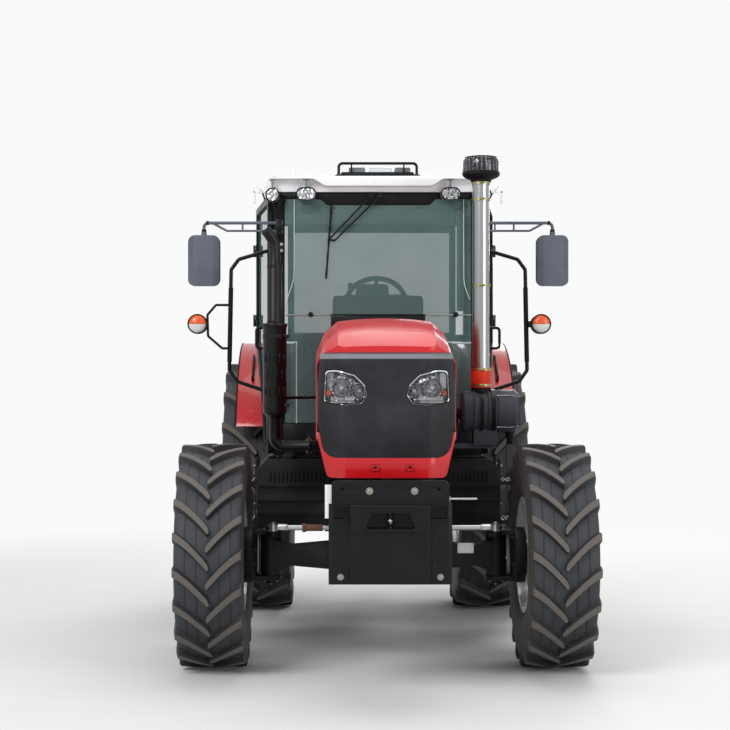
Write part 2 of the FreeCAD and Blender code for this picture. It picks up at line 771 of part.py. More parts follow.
# across, up, corner radius
lamp_outline = [(330, 1678, 20), (270, 1682, 60), (170, 1655, 40), (115, 1600, 30), (100, 1545, 25),
                (135, 1495, 15),
                (215, 1486, 60), (338, 1508, 20)]
lamp_centre = (219, 1585)
lamp_scale = 0.9975
mask = prism(mask_outline(0), "xz", hood_y - 5, hood_y + mask_depth - seat_gap).common(nose(0))
mask = mask.cut(prism(mask_outline(mask_wall), "xz", hood_y - 5,
                      hood_y + mask_depth + 1).common(nose(mask_wall)))
lens_skin = nose(2).cut(nose(20))
lenses = []
for sign in (-1, 1):
    mask = mask.cut(prism([(sign * x, z, bend) for x, z, bend in lamp_outline], "xz", hood_y - 5,
                          hood_y + mask_depth))
    lens = []
    for x, z, bend in lamp_outline:
        across = lamp_centre[0] + (x - lamp_centre[0]) * lamp_scale
        lens.append((sign * across, lamp_centre[1] + (z - lamp_centre[1]) * lamp_scale, bend * lamp_scale))
    lenses.append(prism(lens, "xz", hood_y - 5, hood_y + mask_depth - seat_gap).common(lens_skin))
write("grille_mask", mask)
write("headlamps", Part.makeCompound(lenses))

# Tank and battery box under the cab
tank_front = cab_front - 140
tank_back = cab_front + 300
tank_inner = 300.0
tank_outer = 765.0
sill_z = floor_top - floor_thickness
tank_top = sill_z - seat_gap


def ribbed_box():
    shell = prism([(tank_inner, 700, 24), (tank_outer - 10, 690, 24), (tank_outer, 720),
                   (tank_outer, tank_top - 70, 20),
                   (tank_outer - 60, tank_top, 20), (tank_inner, tank_top, 20)], "xz", tank_front,
                  tank_back)
    ribs = [prism([(tank_inner + 15, z, 6), (tank_outer - 6, z, 6), (tank_outer - 6, z + 24, 6),
                   (tank_inner + 15, z + 24, 6)],
                  "xz", tank_front - 10, tank_front) for z in (780, 868, 956)]
    return fuse([shell] + ribs)


tank = ribbed_box()
write("battery_box", tank)
write("fuel_tank", mirrored(tank))

# Steps
step_front = cab_front + 20
step_back = cab_front + 340
step_inner = tank_outer + seat_gap
step_top = floor_top - 190
step_spacing = 250.0
step_parts = []
for number in range(3):
    z = step_top - number * step_spacing
    tread = [(step_inner + 15, step_front), (step_inner + 195, step_front, 30),
             (step_inner + 195, step_back, 30),
             (step_inner + 15, step_back)]
    step_parts.append(prism(tread, "xy", z, z + 24))
for y in (step_front, step_front + 250):
    step_parts.append(box(step_inner, step_inner + 20, y, y + 20, step_top - 2 * step_spacing, sill_z - 2))
left_steps = fuse(step_parts)
write("steps", Part.makeCompound([left_steps, mirrored(left_steps)]))

# Cab
floor_plan = [(cab_front_half - 20, cab_front + 5), (cab_front_half + 20, cab_front + 270),
              (fender_inner - 11, cab_front + 310), (fender_inner - 11, cab_rear - 70)]
write("cab_floor", prism(both_sides(floor_plan), "xy", sill_z, floor_top))


def on_door_line(shape):
    """Turns a piece drawn along Y at X = 0 onto the slanted line between front and middle pillars."""
    copy = shape.copy()
    copy.rotate(Vector(0, 0, 0), Vector(0, 0, 1), -door_angle)
    copy.translate(Vector(cab_front_half, cab_front, 0))
    return copy


def on_rear_line(shape):
    """Turns a piece drawn along Y at X = 0 onto the line between middle and rear pillars."""
    copy = shape.copy()
    angle = math.degrees(math.atan2(cab_mid_half - cab_rear_half, cab_rear - cab_mid))
    copy.rotate(Vector(0, 0, 0), Vector(0, 0, 1), angle)
    copy.translate(Vector(cab_mid_half, cab_mid, 0))
    return copy


rear_line_length = math.hypot(cab_mid_half - cab_rear_half, cab_rear - cab_mid)
arch_centre_y = (rear_axle_y - cab_front) / math.cos(math.radians(door_angle))
door_arch_radius = fender_radius + door_arch_clearance
rear_sill = fender_top + 67.5
hinge_z_low = floor_top + 850
hinge_z_high = floor_top + 1330
door_hinge_x = 46.0
door_hinge_y = cab_door_length - 10
rear_hinge_y = cab_rear + 30
rear_hinge_z = cab_top - 40
firewall_top = hood_rear_top + firewall_over_hood


def arch_disc(radius, x0, x1):
    return cylinder(radius, Vector(x0, arch_centre_y, rear_axle_z), Vector(x1, arch_centre_y, rear_axle_z))


def cab_side():
    length = cab_door_length
    size = pillar_size
    front = on_door_line(box(-size, 0, 0, size, floor_top, cab_top))
    middle = on_door_line(box(-size, 0, length - size, length, fender_top - 8, cab_top))
    rail = on_door_line(box(-size, 0, 0, length, cab_top - 55, cab_top))
    arch = box(-size, 0, 0, length, floor_top, fender_top + 52)
    arch = on_door_line(arch.common(arch_disc(door_arch_radius + 30, -200, 200)))
    arch = arch.cut(cylinder(fender_radius + seat_gap, Vector(0, rear_axle_y, rear_axle_z),
                             Vector(1200, rear_axle_y, rear_axle_z)))
    rear_rail = on_rear_line(box(-size, 0, -10, rear_line_length, cab_top - 55, cab_top))
    rear_sill_bar = on_rear_line(box(-size, -2, -10, rear_line_length, fender_top + 12, fender_top + 62))
    rear = on_rear_line(box(-size, 0, rear_line_length - size, rear_line_length, fender_top + 14, cab_top))
    pieces = [front, middle, rail, arch, rear_rail, rear_sill_bar, rear]
    for z in (hinge_z_low, hinge_z_high):
        leaf = box(-5, door_hinge_x, door_hinge_y - 8, door_hinge_y + 10, z, z + 40)
        barrel = cylinder(14, Vector(door_hinge_x, door_hinge_y, z),
                          Vector(door_hinge_x, door_hinge_y, z + 40))
        pin = cylinder(6, Vector(door_hinge_x, door_hinge_y, z), Vector(door_hinge_x, door_hinge_y, z + 82))
        pieces.append(on_door_line(fuse([leaf, barrel, pin])))
    return fuse(pieces)


def cab_ends():
    header = [(325, cab_top - header_height), (360, cab_top - header_side_height),
              (cab_front_half - 20, cab_top - header_side_height), (cab_front_half - 20, cab_top)]
    rear_half = cab_rear_half - 20
    wall_half = fender_inner - 6
    return [
        prism(both_sides(header), "xz", cab_front, cab_front + 50),
        box(-cab_front_half + 10, cab_front_half - 10, cab_front, cab_front + 24, floor_top,
            floor_top + 200),
        box(-firewall_half, firewall_half, cab_front + 2, cab_front + 26, floor_top, firewall_top),
        box(-rear_half, rear_half, cab_rear - 55, cab_rear, cab_top - 60, cab_top),
        box(-wall_half, wall_half, cab_rear - 60, cab_rear - 30, floor_top, rear_sill - 10),
        box(-rear_half, rear_half, cab_rear - 60, cab_rear - 5, rear_sill - 50, rear_sill),
    ]


def cab_fittings():
    """Lugs and pins of the hood and the rear window, inside mirror and display under the header."""
    pieces = []
    for sign in (-1, 1):
        inner, outer = sorted((sign * 162, sign * 178))
        pieces.append(box(inner, outer, hinge_y - 18, hinge_y + 18, hinge_z - 90, hinge_z + 18))
        pieces.append(box(inner, outer, hinge_y - 18, cab_front + 5, hinge_z - 90, hinge_z - 60))
        pieces.append(cylinder(8, Vector(sign * 165, hinge_y, hinge_z),
                               Vector(sign * 214, hinge_y, hinge_z)))
        inner, outer = sorted((sign * 386, sign * 402))
        pieces.append(box(inner, outer, cab_rear - 10, rear_hinge_y + 10, rear_hinge_z - 10,
                          rear_hinge_z + 10))
        pieces.append(cylinder(6, Vector(sign * 394, rear_hinge_y, rear_hinge_z),
                               Vector(sign * 432, rear_hinge_y, rear_hinge_z)))
    stem_z = cab_top - 22
    # across, half width, half height, depth behind the glass, middle height, corner radius
    rows = [(-432, 66, 40, 84, cab_top - 90, 34), (470, 70, 72, 104, cab_top - 124, 8)]
    for x, half, rise, depth, z, bend in rows:
        y = cab_front + depth
        face = [(x - half, z - rise, bend), (x + half, z - rise, bend), (x + half, z + rise, bend),
                (x - half, z + rise, bend)]
        pieces.append(prism(face, "xz", y, y + 24))
        pieces.append(tube([(x, cab_front + 45, stem_z), (x, y + 12, stem_z), (x, y + 12, z + rise - 8)],
                           7, 12))
    return pieces


left_side = cab_side()
write("cab_frame", fuse([left_side, mirrored(left_side)] + cab_ends() + cab_fittings()))

door_low = floor_top + 10
door_high = cab_top - 20
pane_start = door_gap + 14


def door_blank(inset, x0, x1):
    shape = box(x0, x1, 12 + inset, cab_door_length - 26 - inset, door_low + inset, door_high - inset)
    return shape.cut(arch_disc(door_arch_radius + inset, x0 - 10, x1 + 10))


def door():
    face = door_gap + door_thickness
    pieces = [door_blank(0, door_gap, face).cut(door_blank(45, 0, 100))]
    for z in (hinge_z_low + 40.5, hinge_z_high + 40.5):
        leaf = box(door_gap + 8, door_hinge_x, cab_door_length - 60, door_hinge_y, z, z + 40)
        barrel = cylinder(14, Vector(door_hinge_x, door_hinge_y, z),
                          Vector(door_hinge_x, door_hinge_y, z + 40))
        bore = cylinder(6 + hinge_gap, Vector(door_hinge_x, door_hinge_y, z - 1),
                        Vector(door_hinge_x, door_hinge_y, z + 41))
        pieces.append(leaf.fuse(barrel).cut(bore))
    grip = face + 70
    low = floor_top + 682
    high = floor_top + 812
    pieces.append(tube([(face - 4, 37, low), (grip, 37, low), (grip, 37, high), (face - 4, 37, high)], 9,
                       20))
    return on_door_line(fuse(pieces))


left_door = door()
pane = on_door_line(door_blank(45 + seat_gap, pane_start, pane_start + glass_thickness))
write("door_left", left_door)
write("door_right", mirrored(left_door))
write("door_glass_left", pane)
write("door_glass_right", mirrored(pane))

# Fixed glass, rear window and wiper
screen_half = cab_front_half - pillar_size - 3
screen_low = floor_top + 200 + seat_gap
screen = both_sides([(firewall_half + 1, firewall_top + 3), (firewall_half + 1, screen_low),
                     (screen_half, screen_low),
                     (screen_half, cab_top - header_side_height - seat_gap),
                     (360.5, cab_top - header_side_height - seat_gap),
                     (325.5, cab_top - header_height - seat_gap)])
write("windscreen", prism(screen, "xz", cab_front + 8, cab_front + 8 + glass_thickness))
side_pane = on_rear_line(box(-30, -30 + glass_thickness, 14, rear_line_length - pillar_size - 2,
                             fender_top + 62 + seat_gap, cab_top - 55 - seat_gap))
write("side_windows", Part.makeCompound([side_pane, mirrored(side_pane)]))


def rear_window():
    low = rear_sill - 30
    high = rear_hinge_z - 18
    frame = box(-620, 620, cab_rear + 8, cab_rear + 34, low, high)
    pieces = [frame.cut(box(-580, 580, cab_rear, cab_rear + 40, low + 40, high - 40))]
    for sign in (-1, 1):
        inner, outer = sorted((sign * 407, sign * 431))
        eye = box(inner, outer, rear_hinge_y - 12, rear_hinge_y + 12, high - 12, rear_hinge_z + 12)
        pieces.append(eye.cut(cylinder(6 + hinge_gap, Vector(inner - 8, rear_hinge_y, rear_hinge_z),
                                       Vector(outer + 8, rear_hinge_y, rear_hinge_z))))
    return fuse(pieces)


write("rear_window", rear_window())
write("rear_window_glass", box(-580 + seat_gap, 580 - seat_gap, cab_rear + 16,
                               cab_rear + 16 + glass_thickness,
                               rear_sill + 10 + seat_gap, rear_hinge_z - 58 - seat_gap))


def wiper():
    pivot_z = cab_top - 25
    front = cab_front - 20
    near_glass = cab_front - 4
    pieces = [bar(Vector(-296, near_glass, cab_top - 82), Vector(-331, near_glass, cab_top - 552), 12, 16),
              bar(Vector(-272, near_glass - 8, cab_top - 310), Vector(-322, near_glass - 8, cab_top - 302),
                  14, 12)]
    # pivot, arm end across and below the cab's top
    for pivot_x, end_x, drop in ((-44, -311, 301), (13, -279, 313)):
        pieces.append(cylinder(15, Vector(pivot_x, front - 8, pivot_z),
                               Vector(pivot_x, cab_front - seat_gap, pivot_z)))
        pieces.append(bar(Vector(pivot_x, front, pivot_z), Vector(end_x, near_glass - 10, cab_top - drop),
                          11, 7))
    return fuse(pieces)


write("wiper", wiper())

# Roof and its rail
roof_front = cab_front - roof_overhang
roof_back = cab_rear + roof_overhang
roof_low = cab_top + seat_gap


def roof():
    side = [(roof_front + 30, roof_low), (roof_back - 30, roof_low), (roof_back, roof_low + 30, 20),
            (roof_back - 20, roof_top - 40, 50), (roof_back - 280, roof_top, 400),
            (roof_front + 280, roof_top, 400),
            (roof_front + 8, roof_top - 34, 40), (roof_front, roof_low + 30, 20)]
    plan = [(600, roof_front, 60), (708, roof_front + 80, 60), (750, cab_mid, 300),
            (735, roof_back - 100, 60),
            (640, roof_back, 60)]
    # raised lobes along both sides, a lower middle between them
    section = [(720, roof_low), (750, cab_top + 24, 20), (750, cab_top + 60, 30), (697, roof_top - 50, 60),
               (627, roof_top - 19, 60), (393, roof_top, 20), (361, roof_top - 13, 20)]
    recess = [(760, roof_low - 1), (760, roof_top - 50), (410, roof_top - 50, 20), (335, cab_top + 28, 20)]
    shape = prism(side, "yz", -800, 800).common(prism(both_sides(plan), "xy", roof_low, roof_top))
    shape = shape.common(prism(both_sides(section), "xz", roof_front, roof_back))
    return shape.cut(prism(both_sides(recess), "xz", roof_front - 1, roof_front + 85))


roof_shape = roof()
write("roof", roof_shape)
rail_y = cab_front + 60
rail_top = roof_top + 68
rail = tube([(-250, rail_y, roof_top - 26), (-250, rail_y, rail_top), (250, rail_y, rail_top),
             (250, rail_y, roof_top - 26)],
            9, 25)
write("roof_rail", rail.cut(roof_shape))

# Seat, console and steering wheel
seat_low = floor_top + 410
seat_front = cab_front + 850
seat_back = seat_front + 490
write("seat_base", fuse([box(-210, 210, seat_front + 60, seat_back - 10, floor_top + seat_gap,
                             floor_top + 60),
                         prism(both_sides([(150, floor_top + 50), (230, seat_low)]), "xz",
                               seat_front + 100, seat_back - 40)]))
cushion = prism(both_sides([(240, seat_low + seat_gap, 30), (240, seat_low + 120, 45)]), "xz", seat_front,
                seat_back)
write("seat_cushion", cushion.common(prism(both_sides([(240, seat_front, 70), (240, seat_back)]), "xy",
                                           seat_low, seat_low + 130)))
backrest = prism([(seat_back + seat_gap, seat_low + 130), (seat_back + seat_gap, seat_low + 40),
                  (seat_back + 110, seat_low + 40, 30),
                  (seat_back + 140, seat_low + 670, 45), (seat_back + 50, seat_low + 670, 40)], "yz", -230,
                 230)
backrest_face = both_sides([(230, seat_low + 40, 50), (230, seat_low + 470), (180, seat_low + 670, 80)])
write("seat_backrest", backrest.common(prism(backrest_face, "xz", seat_back, seat_back + 150)))

console_front = cab_front + 26 + seat_gap
console_back = cab_front + 260
wheel_centre = Vector(0, cab_front + 470, floor_top + steering_over_floor)
tilt = math.radians(steering_tilt)
wheel_axis = Vector(0, math.sin(tilt), math.cos(tilt))
rim_line = Vector(0, -math.cos(tilt), math.sin(tilt))


def along_column(distance):
    return wheel_centre.add(Vector(wheel_axis).multiply(distance))


console = prism([(console_front, floor_top + seat_gap), (console_back, floor_top + seat_gap),
                 (console_back, floor_top + 750, 60), (cab_front + 180, floor_top + 960, 60),
                 (console_front, floor_top + 1030, 20)], "yz", -290, 290)
console = console.common(prism(both_sides([(230, floor_top + seat_gap), (290, floor_top + 700),
                                           (290, floor_top + 1040, 60)]),
                               "xz", console_front, console_back))
write("dashboard", fuse([console, cylinder(30, along_column(-40 - seat_gap), along_column(-450))]))
hub = cylinder(45, along_column(-40), along_column(8))
spokes = []
for turn in (0, 2 * math.pi / 3, 4 * math.pi / 3):
    reach = Vector(math.sin(turn) * steering_radius, 0,
                   0).add(Vector(rim_line).multiply(math.cos(turn) * steering_radius))
    spokes.append(bar(along_column(-12), wheel_centre.add(reach), 26, 12))
write("steering_wheel", fuse([Part.makeTorus(steering_radius, 15, wheel_centre, wheel_axis), hub] + spokes))

# Fenders
fender_end_z = floor_top + 170


def fender():
    inner = Vector(fender_inner, rear_axle_y, rear_axle_z)
    outer = cylinder(fender_radius, inner, Vector(fender_outer, rear_axle_y, rear_axle_z))
    hollow = cylinder(fender_radius - fender_wall, Vector(fender_inner + fender_wall, rear_axle_y,
                                                          rear_axle_z),
                      Vector(fender_outer + 1, rear_axle_y, rear_axle_z))
    lip = hollow.cut(cylinder(fender_radius - 45, inner,
                              Vector(fender_outer + 2, rear_axle_y, rear_axle_z)))
    lip = lip.common(box(fender_outer - 8, fender_outer, rear_axle_y - fender_radius,
                         rear_axle_y + fender_radius,
                         rear_axle_z, fender_top))
    keep = box(0, fender_outer, rear_axle_y - fender_radius, rear_axle_y + fender_radius, fender_end_z,
               fender_top)
    return fuse([outer.cut(hollow), lip]).common(keep)


left_fender = fender()
write("fender_left", left_fender)
write("fender_right", mirrored(left_fender))

# Exhaust and intake stacks, air filter
stack_y = cab_front - stack_reach
muffler_low = 1400.0
muffler_length = 570.0
sleeve_length = 355.0


def exhaust():
    feed = tube([(-engine_half_width - seat_gap, stack_y, exhaust_feed_z),
                 (exhaust_x, stack_y, exhaust_feed_z),
                 (exhaust_x, stack_y, muffler_low + 10)], 36, 60)
    flange = cylinder(62, Vector(exhaust_x + 200, stack_y, exhaust_feed_z),
                      Vector(exhaust_x + 216, stack_y, exhaust_feed_z))
    radius = muffler_radius
    length = muffler_length
    # height from the muffler's foot, radius
    profile = [(0, 0), (0, 40), (30, radius), (length - 20, radius), (length - 20, radius + 5),
               (length, radius + 5),
               (length, 45), (length + sleeve_length, 45), (length + sleeve_length, 0)]
    can = revolved(profile, Vector(exhaust_x, stack_y, muffler_low), Vector(0, 0, 1))
    top = muffler_low + length + sleeve_length
    end = (exhaust_x - 52, stack_y - 30, top + 210)
    beyond = (exhaust_x - 104, stack_y - 60, top + 283)
    corner = (exhaust_x, stack_y, top + 137)
    pipe = tube([(exhaust_x, stack_y, top - 5), corner, end], exhaust_pipe_radius, 60)
    hole = tube([(exhaust_x, stack_y, top + 60), corner, beyond], exhaust_pipe_radius - 4, 60)
    return fuse([feed, flange, can, pipe]).cut(hole)


write("exhaust", exhaust())


def filter_can():
    radius = filter_radius
    # place along X from the can's inner end, radius
    profile = [(0, 0), (0, radius - 20), (14, radius - 8)]
    for ridge in (74, 117, 159, 202):
        profile += [(ridge - 6, radius - 8), (ridge - 3, radius), (ridge + 3, radius),
                    (ridge + 6, radius - 8)]
    profile += [(214, radius - 8), (216, radius), (322, radius), (334, radius - 14), (334, 0)]
    return revolved(profile, Vector(490, stack_y, filter_z), Vector(1, 0, 0))


can = filter_can()
saddle = box(560, 700, stack_y - 60, stack_y + 60, exhaust_feed_z + 7, filter_z - 60)
arm = box(engine_half_width + seat_gap, 700, stack_y - 30, stack_y + 30, exhaust_feed_z - 13,
          exhaust_feed_z + 17)
drain = Part.makeCone(12, 22, 64, Vector(785, stack_y, filter_z - filter_radius - 54), Vector(0, 0, 1))
write("air_filter", fuse([can, saddle, arm, drain]))

intake = [cylinder(intake_radius, Vector(intake_x, stack_y, filter_z),
                   Vector(intake_x, stack_y, intake_top)),
          cylinder(intake_radius + 7, Vector(intake_x, stack_y, filter_z),
                   Vector(intake_x, stack_y, filter_z + 262))]
for drop in (24, 121, 642):
    intake.append(cylinder(intake_radius + 5, Vector(intake_x, stack_y, intake_top - drop - 9),
                           Vector(intake_x, stack_y, intake_top - drop + 9)))
write("intake_pipe", fuse(intake).cut(can))
# height above the pipe, radius
bowl = [(0, 0), (0, 62), (14, 96), (30, bowl_radius), (104, bowl_radius), (128, bowl_radius - 12),
        (140, bowl_radius - 50), (140, 0)]
write("pre_cleaner", revolved(bowl, Vector(intake_x, stack_y, intake_top + seat_gap), Vector(0, 0, 1)))

# Handrails, mirrors and lamps
hand_y = cab_front - 36
hand_points = [(cab_front_half - 30, cab_top - 355), (rail_x - 60, cab_top - 430),
               (rail_x - 12, cab_top - 495),
               (rail_x, floor_top + 540), (rail_x - 50, floor_top + 470),
               (cab_front_half - 30, floor_top + 380)]
handrail = [tube([(x, hand_y, z) for x, z in hand_points], rail_radius, 30)]
for x, z in (hand_points[0], hand_points[-1]):
    handrail.append(box(x - 25, x + 25, hand_y - 8, cab_front - seat_gap, z - 30, z + 30))
handrail = fuse(handrail)
write("handrails", Part.makeCompound([handrail, mirrored(handrail)]))


def mirror():
    y = cab_front - 42
    arm_z = cab_top - 200
    low_z = arm_z - 50
    root = cab_front_half - 40
    head_z = cab_top - 440
    half = mirror_width / 2
    rise = mirror_height / 2
    pieces = [tube([(root, y, arm_z), (mirror_x, y, arm_z), (mirror_x, y, head_z + rise - 10)], 10, 30),
              tube([(root, y, low_z), (mirror_x - 145, y, low_z), (mirror_x - 60, y, arm_z - 4)], 7, 25),
              box(root - 15, root + 35, y - 6, cab_front - seat_gap, low_z - 15, arm_z + 15)]
    for x in (root + 120, root + 240):
        pieces.append(cylinder(6, Vector(x, y, low_z), Vector(x, y, arm_z)))
    pieces.append(cylinder(17, Vector(mirror_x, y, head_z + rise - 12),
                           Vector(mirror_x, y, head_z + rise + 22)))
    face = [(mirror_x - half, head_z - rise, 45), (mirror_x + half, head_z - rise, 45),
            (mirror_x + half, head_z + rise, 45),
            (mirror_x - half, head_z + rise, 45)]
    plan = [(mirror_x - half, y + 30), (mirror_x + half, y + 30), (mirror_x + half, y - 8, 25),
            (mirror_x + half - 45, y - 35, 40), (mirror_x - half + 45, y - 35, 40),
            (mirror_x - half, y - 8, 25)]
    head = prism(face, "xz", y - 35, y + 30).common(prism(plan, "xy", head_z - rise, head_z + rise))
    return fuse(pieces + [head])


left_mirror = mirror()
write("mirror_left", left_mirror)
write("mirror_right", mirrored(left_mirror))

signal_z = floor_top + 833


def rail_at(z):
    """Middle of the handrail's long run at a height."""
    (high_x, high), (low_x, low) = hand_points[2], hand_points[3]
    return high_x + (low_x - high_x) * (high - z) / (high - low)


def signal(x):
    body = cylinder(signal_radius, Vector(x, hand_y - 50, signal_z), Vector(x, hand_y + 24, signal_z))
    return body.fuse(box(x - 40, x + 40, hand_y + 20, hand_y + 38, signal_z - 40, signal_z + 40))


def signal_lamps():
    bracket = box(rail_at(signal_z - 20) + rail_radius + seat_gap, 990, hand_y - 10, hand_y + 10,
                  signal_z - 20, signal_z + 20)
    left = signal(1028).fuse(bracket)
    high = signal_z + 122
    low = signal_z - 153
    loop = tube([(-rail_at(high - 8) - rail_radius - seat_gap, hand_y, high), (-1030, hand_y, high),
                 (-1084, hand_y, high - 63), (-1080, hand_y, low + 78), (-990, hand_y, low),
                 (-rail_at(low - 8) - rail_radius - seat_gap, hand_y, low)], 8, 16)
    right = signal(-1143).fuse(loop)
    lamps = [left.removeSplitter(), right.removeSplitter()]
    tail_z = fender_end_z + 14
    disc = cylinder(fender_radius + seat_gap, Vector(-fender_outer, rear_axle_y, rear_axle_z),
                    Vector(fender_outer, rear_axle_y, rear_axle_z))
    reach = math.sqrt(fender_radius ** 2 - (tail_z - rear_axle_z) ** 2)
    for x in (-690, 690):
        outline = [(x - 70, tail_z, 14), (x + 70, tail_z, 14), (x + 70, tail_z + 74, 14),
                   (x - 70, tail_z + 74, 14)]
        lamps.append(prism(outline, "xz", rear_axle_y + reach - 60, rear_axle_y + reach + 28).cut(disc))
    return lamps


write("signal_lamps", Part.makeCompound(signal_lamps()))


def work_lamps():
    front = roof_front + 15
    ceiling = roof_top - 50 - seat_gap
    lamps = []
    # across, half width, half height, middle height below the cab's top
    for x, half, rise, drop in ((670, 44, 44, 28), (456, 63, 42, 22)):
        for sign in (-1, 1):
            z = cab_top - drop
            bend = rise - 2
            face = [(sign * x - half, z - rise, bend), (sign * x + half, z - rise, bend),
                    (sign * x + half, z + rise, bend),
                    (sign * x - half, z + rise, bend)]
            body = prism(face, "xz", front, front + 34)
            back = Part.makeCone(rise - 6, rise - 24, 22, Vector(sign * x, front + 33, z), Vector(0, 1, 0))
            post = box(sign * x - 7, sign * x + 7, front + 16, front + 34, z + rise - 8, ceiling)
            foot = box(sign * x - 20, sign * x + 20, front + 10, front + 40, ceiling - 6, ceiling)
            lamps.append(fuse([body, back, post, foot]))
    for x in (-560, 560):
        lamp = cylinder(40, Vector(x, roof_back - 30, cab_top + 62),
                        Vector(x, roof_back + 45, cab_top + 62))
        lamps.append(lamp.cut(roof_shape))
    return lamps


write("work_lamps", Part.makeCompound(work_lamps()))

# Rear hitch
link_end_y = rear_y - 32
link_end_x = link_x + link_spread
arm_x = 365.0
rod_x = 405.0
lift_tip_y = lift_y + lift_arm_length
lower_links = []
lift_parts = [cylinder(lift_shaft_radius, Vector(-arm_x, lift_y, lift_pivot_z),
                       Vector(arm_x, lift_y, lift_pivot_z))]
lift_rods = []


def across(radius, x0, x1, y, z):
    return cylinder(radius, Vector(x0, y, z), Vector(x1, y, z))


for sign in (-1, 1):
    plan = [(sign * (link_x - 14), link_y), (sign * (link_x + 14), link_y),
            (sign * (link_end_x + 14), link_end_y),
            (sign * (link_end_x - 14), link_end_y)]
    link = fuse([
        prism(plan, "xy", link_pivot_z - link_depth / 2, link_pivot_z + link_depth / 2),
        across(34, sign * link_x - 14, sign * link_x + 14, link_y, link_pivot_z),
        across(32, sign * link_end_x - 22, sign * link_end_x + 22, link_end_y, link_pivot_z),
    ])
    link = link.cut(across(link_ball_radius, sign * link_end_x - 30, sign * link_end_x + 30, link_end_y,
                           link_pivot_z))
    link = link.cut(across(link_pin_radius + hinge_gap, sign * link_x - 30, sign * link_x + 30, link_y,
                           link_pivot_z))
    lower_links.append(link)
    inner, outer = sorted((sign * arm_x, sign * (arm_x + 20)))
    plate = prism([(lift_y - 10, lift_pivot_z - 48), (lift_y + 20, lift_pivot_z - 46),
                   (lift_tip_y, lift_pivot_z - 26),
                   (lift_tip_y, lift_pivot_z + 26), (lift_y + 20, lift_pivot_z + 46),
                   (lift_y - 10, lift_pivot_z + 48)],
                  "yz", inner, outer)
    lift_parts += [
        plate,
        across(48, inner, outer, lift_y, lift_pivot_z),
        across(26, inner, outer, lift_tip_y, lift_pivot_z),
        across(lift_pin_radius, sign * (arm_x + 10), sign * (rod_x + 20), lift_tip_y, lift_pivot_z),
    ]
    rod = cylinder(15, Vector(sign * rod_x, lift_tip_y, lift_pivot_z - 15),
                   Vector(sign * rod_x, lift_tip_y, link_pivot_z + 10))
    eye = across(24, sign * (arm_x + 25), sign * (rod_x + 15), lift_tip_y, lift_pivot_z)
    foot = across(24, sign * (rod_x - 13), sign * (rod_x + 13), lift_tip_y, link_pivot_z)
    bore = across(lift_pin_radius + hinge_gap, sign * arm_x, sign * (rod_x + 30), lift_tip_y, lift_pivot_z)
    lift_rods.append(fuse([rod, eye, foot]).cut(bore))
write("lower_links", Part.makeCompound(lower_links))
write("lift_arms", fuse(lift_parts))
write("lift_rods", Part.makeCompound(lift_rods))

top_radius = 17.0
top_bore_radius = 12.8
lean = math.asin((top_y - housing_back - top_radius - seat_gap) / (lift_pivot_z + 55 - top_z))
end_y = top_y - math.sin(lean) * top_link_length
end_z = top_z + math.cos(lean) * top_link_length
top_link = fuse([cylinder(top_radius, Vector(0, top_y, top_z), Vector(0, end_y, end_z)),
                 across(26, -22, 22, top_y, top_z), across(26, -25, 25, end_y, end_z)])
top_link = top_link.cut(across(12 + hinge_gap, -40, 40, top_y, top_z))
write("top_link", top_link.cut(across(top_bore_radius, -40, 40, end_y, end_z)))

# Drawbar and power take-off
drawbar_end = rear_axle_y + 620
drawbar_start = rear_axle_y - 100
drawbar_top = drawbar_z + drawbar_thickness
drawbar = prism([(-40, drawbar_start), (40, drawbar_start), (40, drawbar_end, 36), (-40, drawbar_end, 36)],
                "xy", drawbar_z, drawbar_top)
drawbar = drawbar.cut(cylinder(16, Vector(0, drawbar_end - 45, drawbar_z - 1),
                               Vector(0, drawbar_end - 45, drawbar_top + 1)))
hanger = box(-90, 90, rear_axle_y + 150, rear_axle_y + 190, drawbar_top, centre_bottom - seat_gap)
front_hanger = box(-60, 60, drawbar_start, drawbar_start + 60, drawbar_z, centre_bottom - seat_gap)
write("drawbar", fuse([drawbar, hanger, front_hanger]))
pto_z = rear_axle_z - pto_drop
write("pto_shaft", cylinder(pto_radius, Vector(0, housing_back + seat_gap, pto_z),
                            Vector(0, housing_back + pto_length, pto_z)))
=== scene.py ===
import json
import math

import bmesh
import bpy
from mathutils import Matrix, Vector


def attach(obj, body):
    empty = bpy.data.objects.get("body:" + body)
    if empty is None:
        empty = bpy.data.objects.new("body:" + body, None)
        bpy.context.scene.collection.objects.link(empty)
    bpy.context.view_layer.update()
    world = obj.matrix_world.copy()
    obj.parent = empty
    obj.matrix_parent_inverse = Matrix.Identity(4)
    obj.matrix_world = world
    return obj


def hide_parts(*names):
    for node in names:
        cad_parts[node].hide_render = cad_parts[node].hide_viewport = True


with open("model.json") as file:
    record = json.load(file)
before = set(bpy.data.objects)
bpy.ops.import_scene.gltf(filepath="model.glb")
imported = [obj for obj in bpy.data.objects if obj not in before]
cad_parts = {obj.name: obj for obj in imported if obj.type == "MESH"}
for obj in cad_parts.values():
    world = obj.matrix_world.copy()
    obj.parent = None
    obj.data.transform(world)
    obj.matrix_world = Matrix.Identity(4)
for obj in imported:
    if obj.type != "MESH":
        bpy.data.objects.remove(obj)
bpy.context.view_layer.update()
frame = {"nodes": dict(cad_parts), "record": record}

nodes = frame["nodes"]


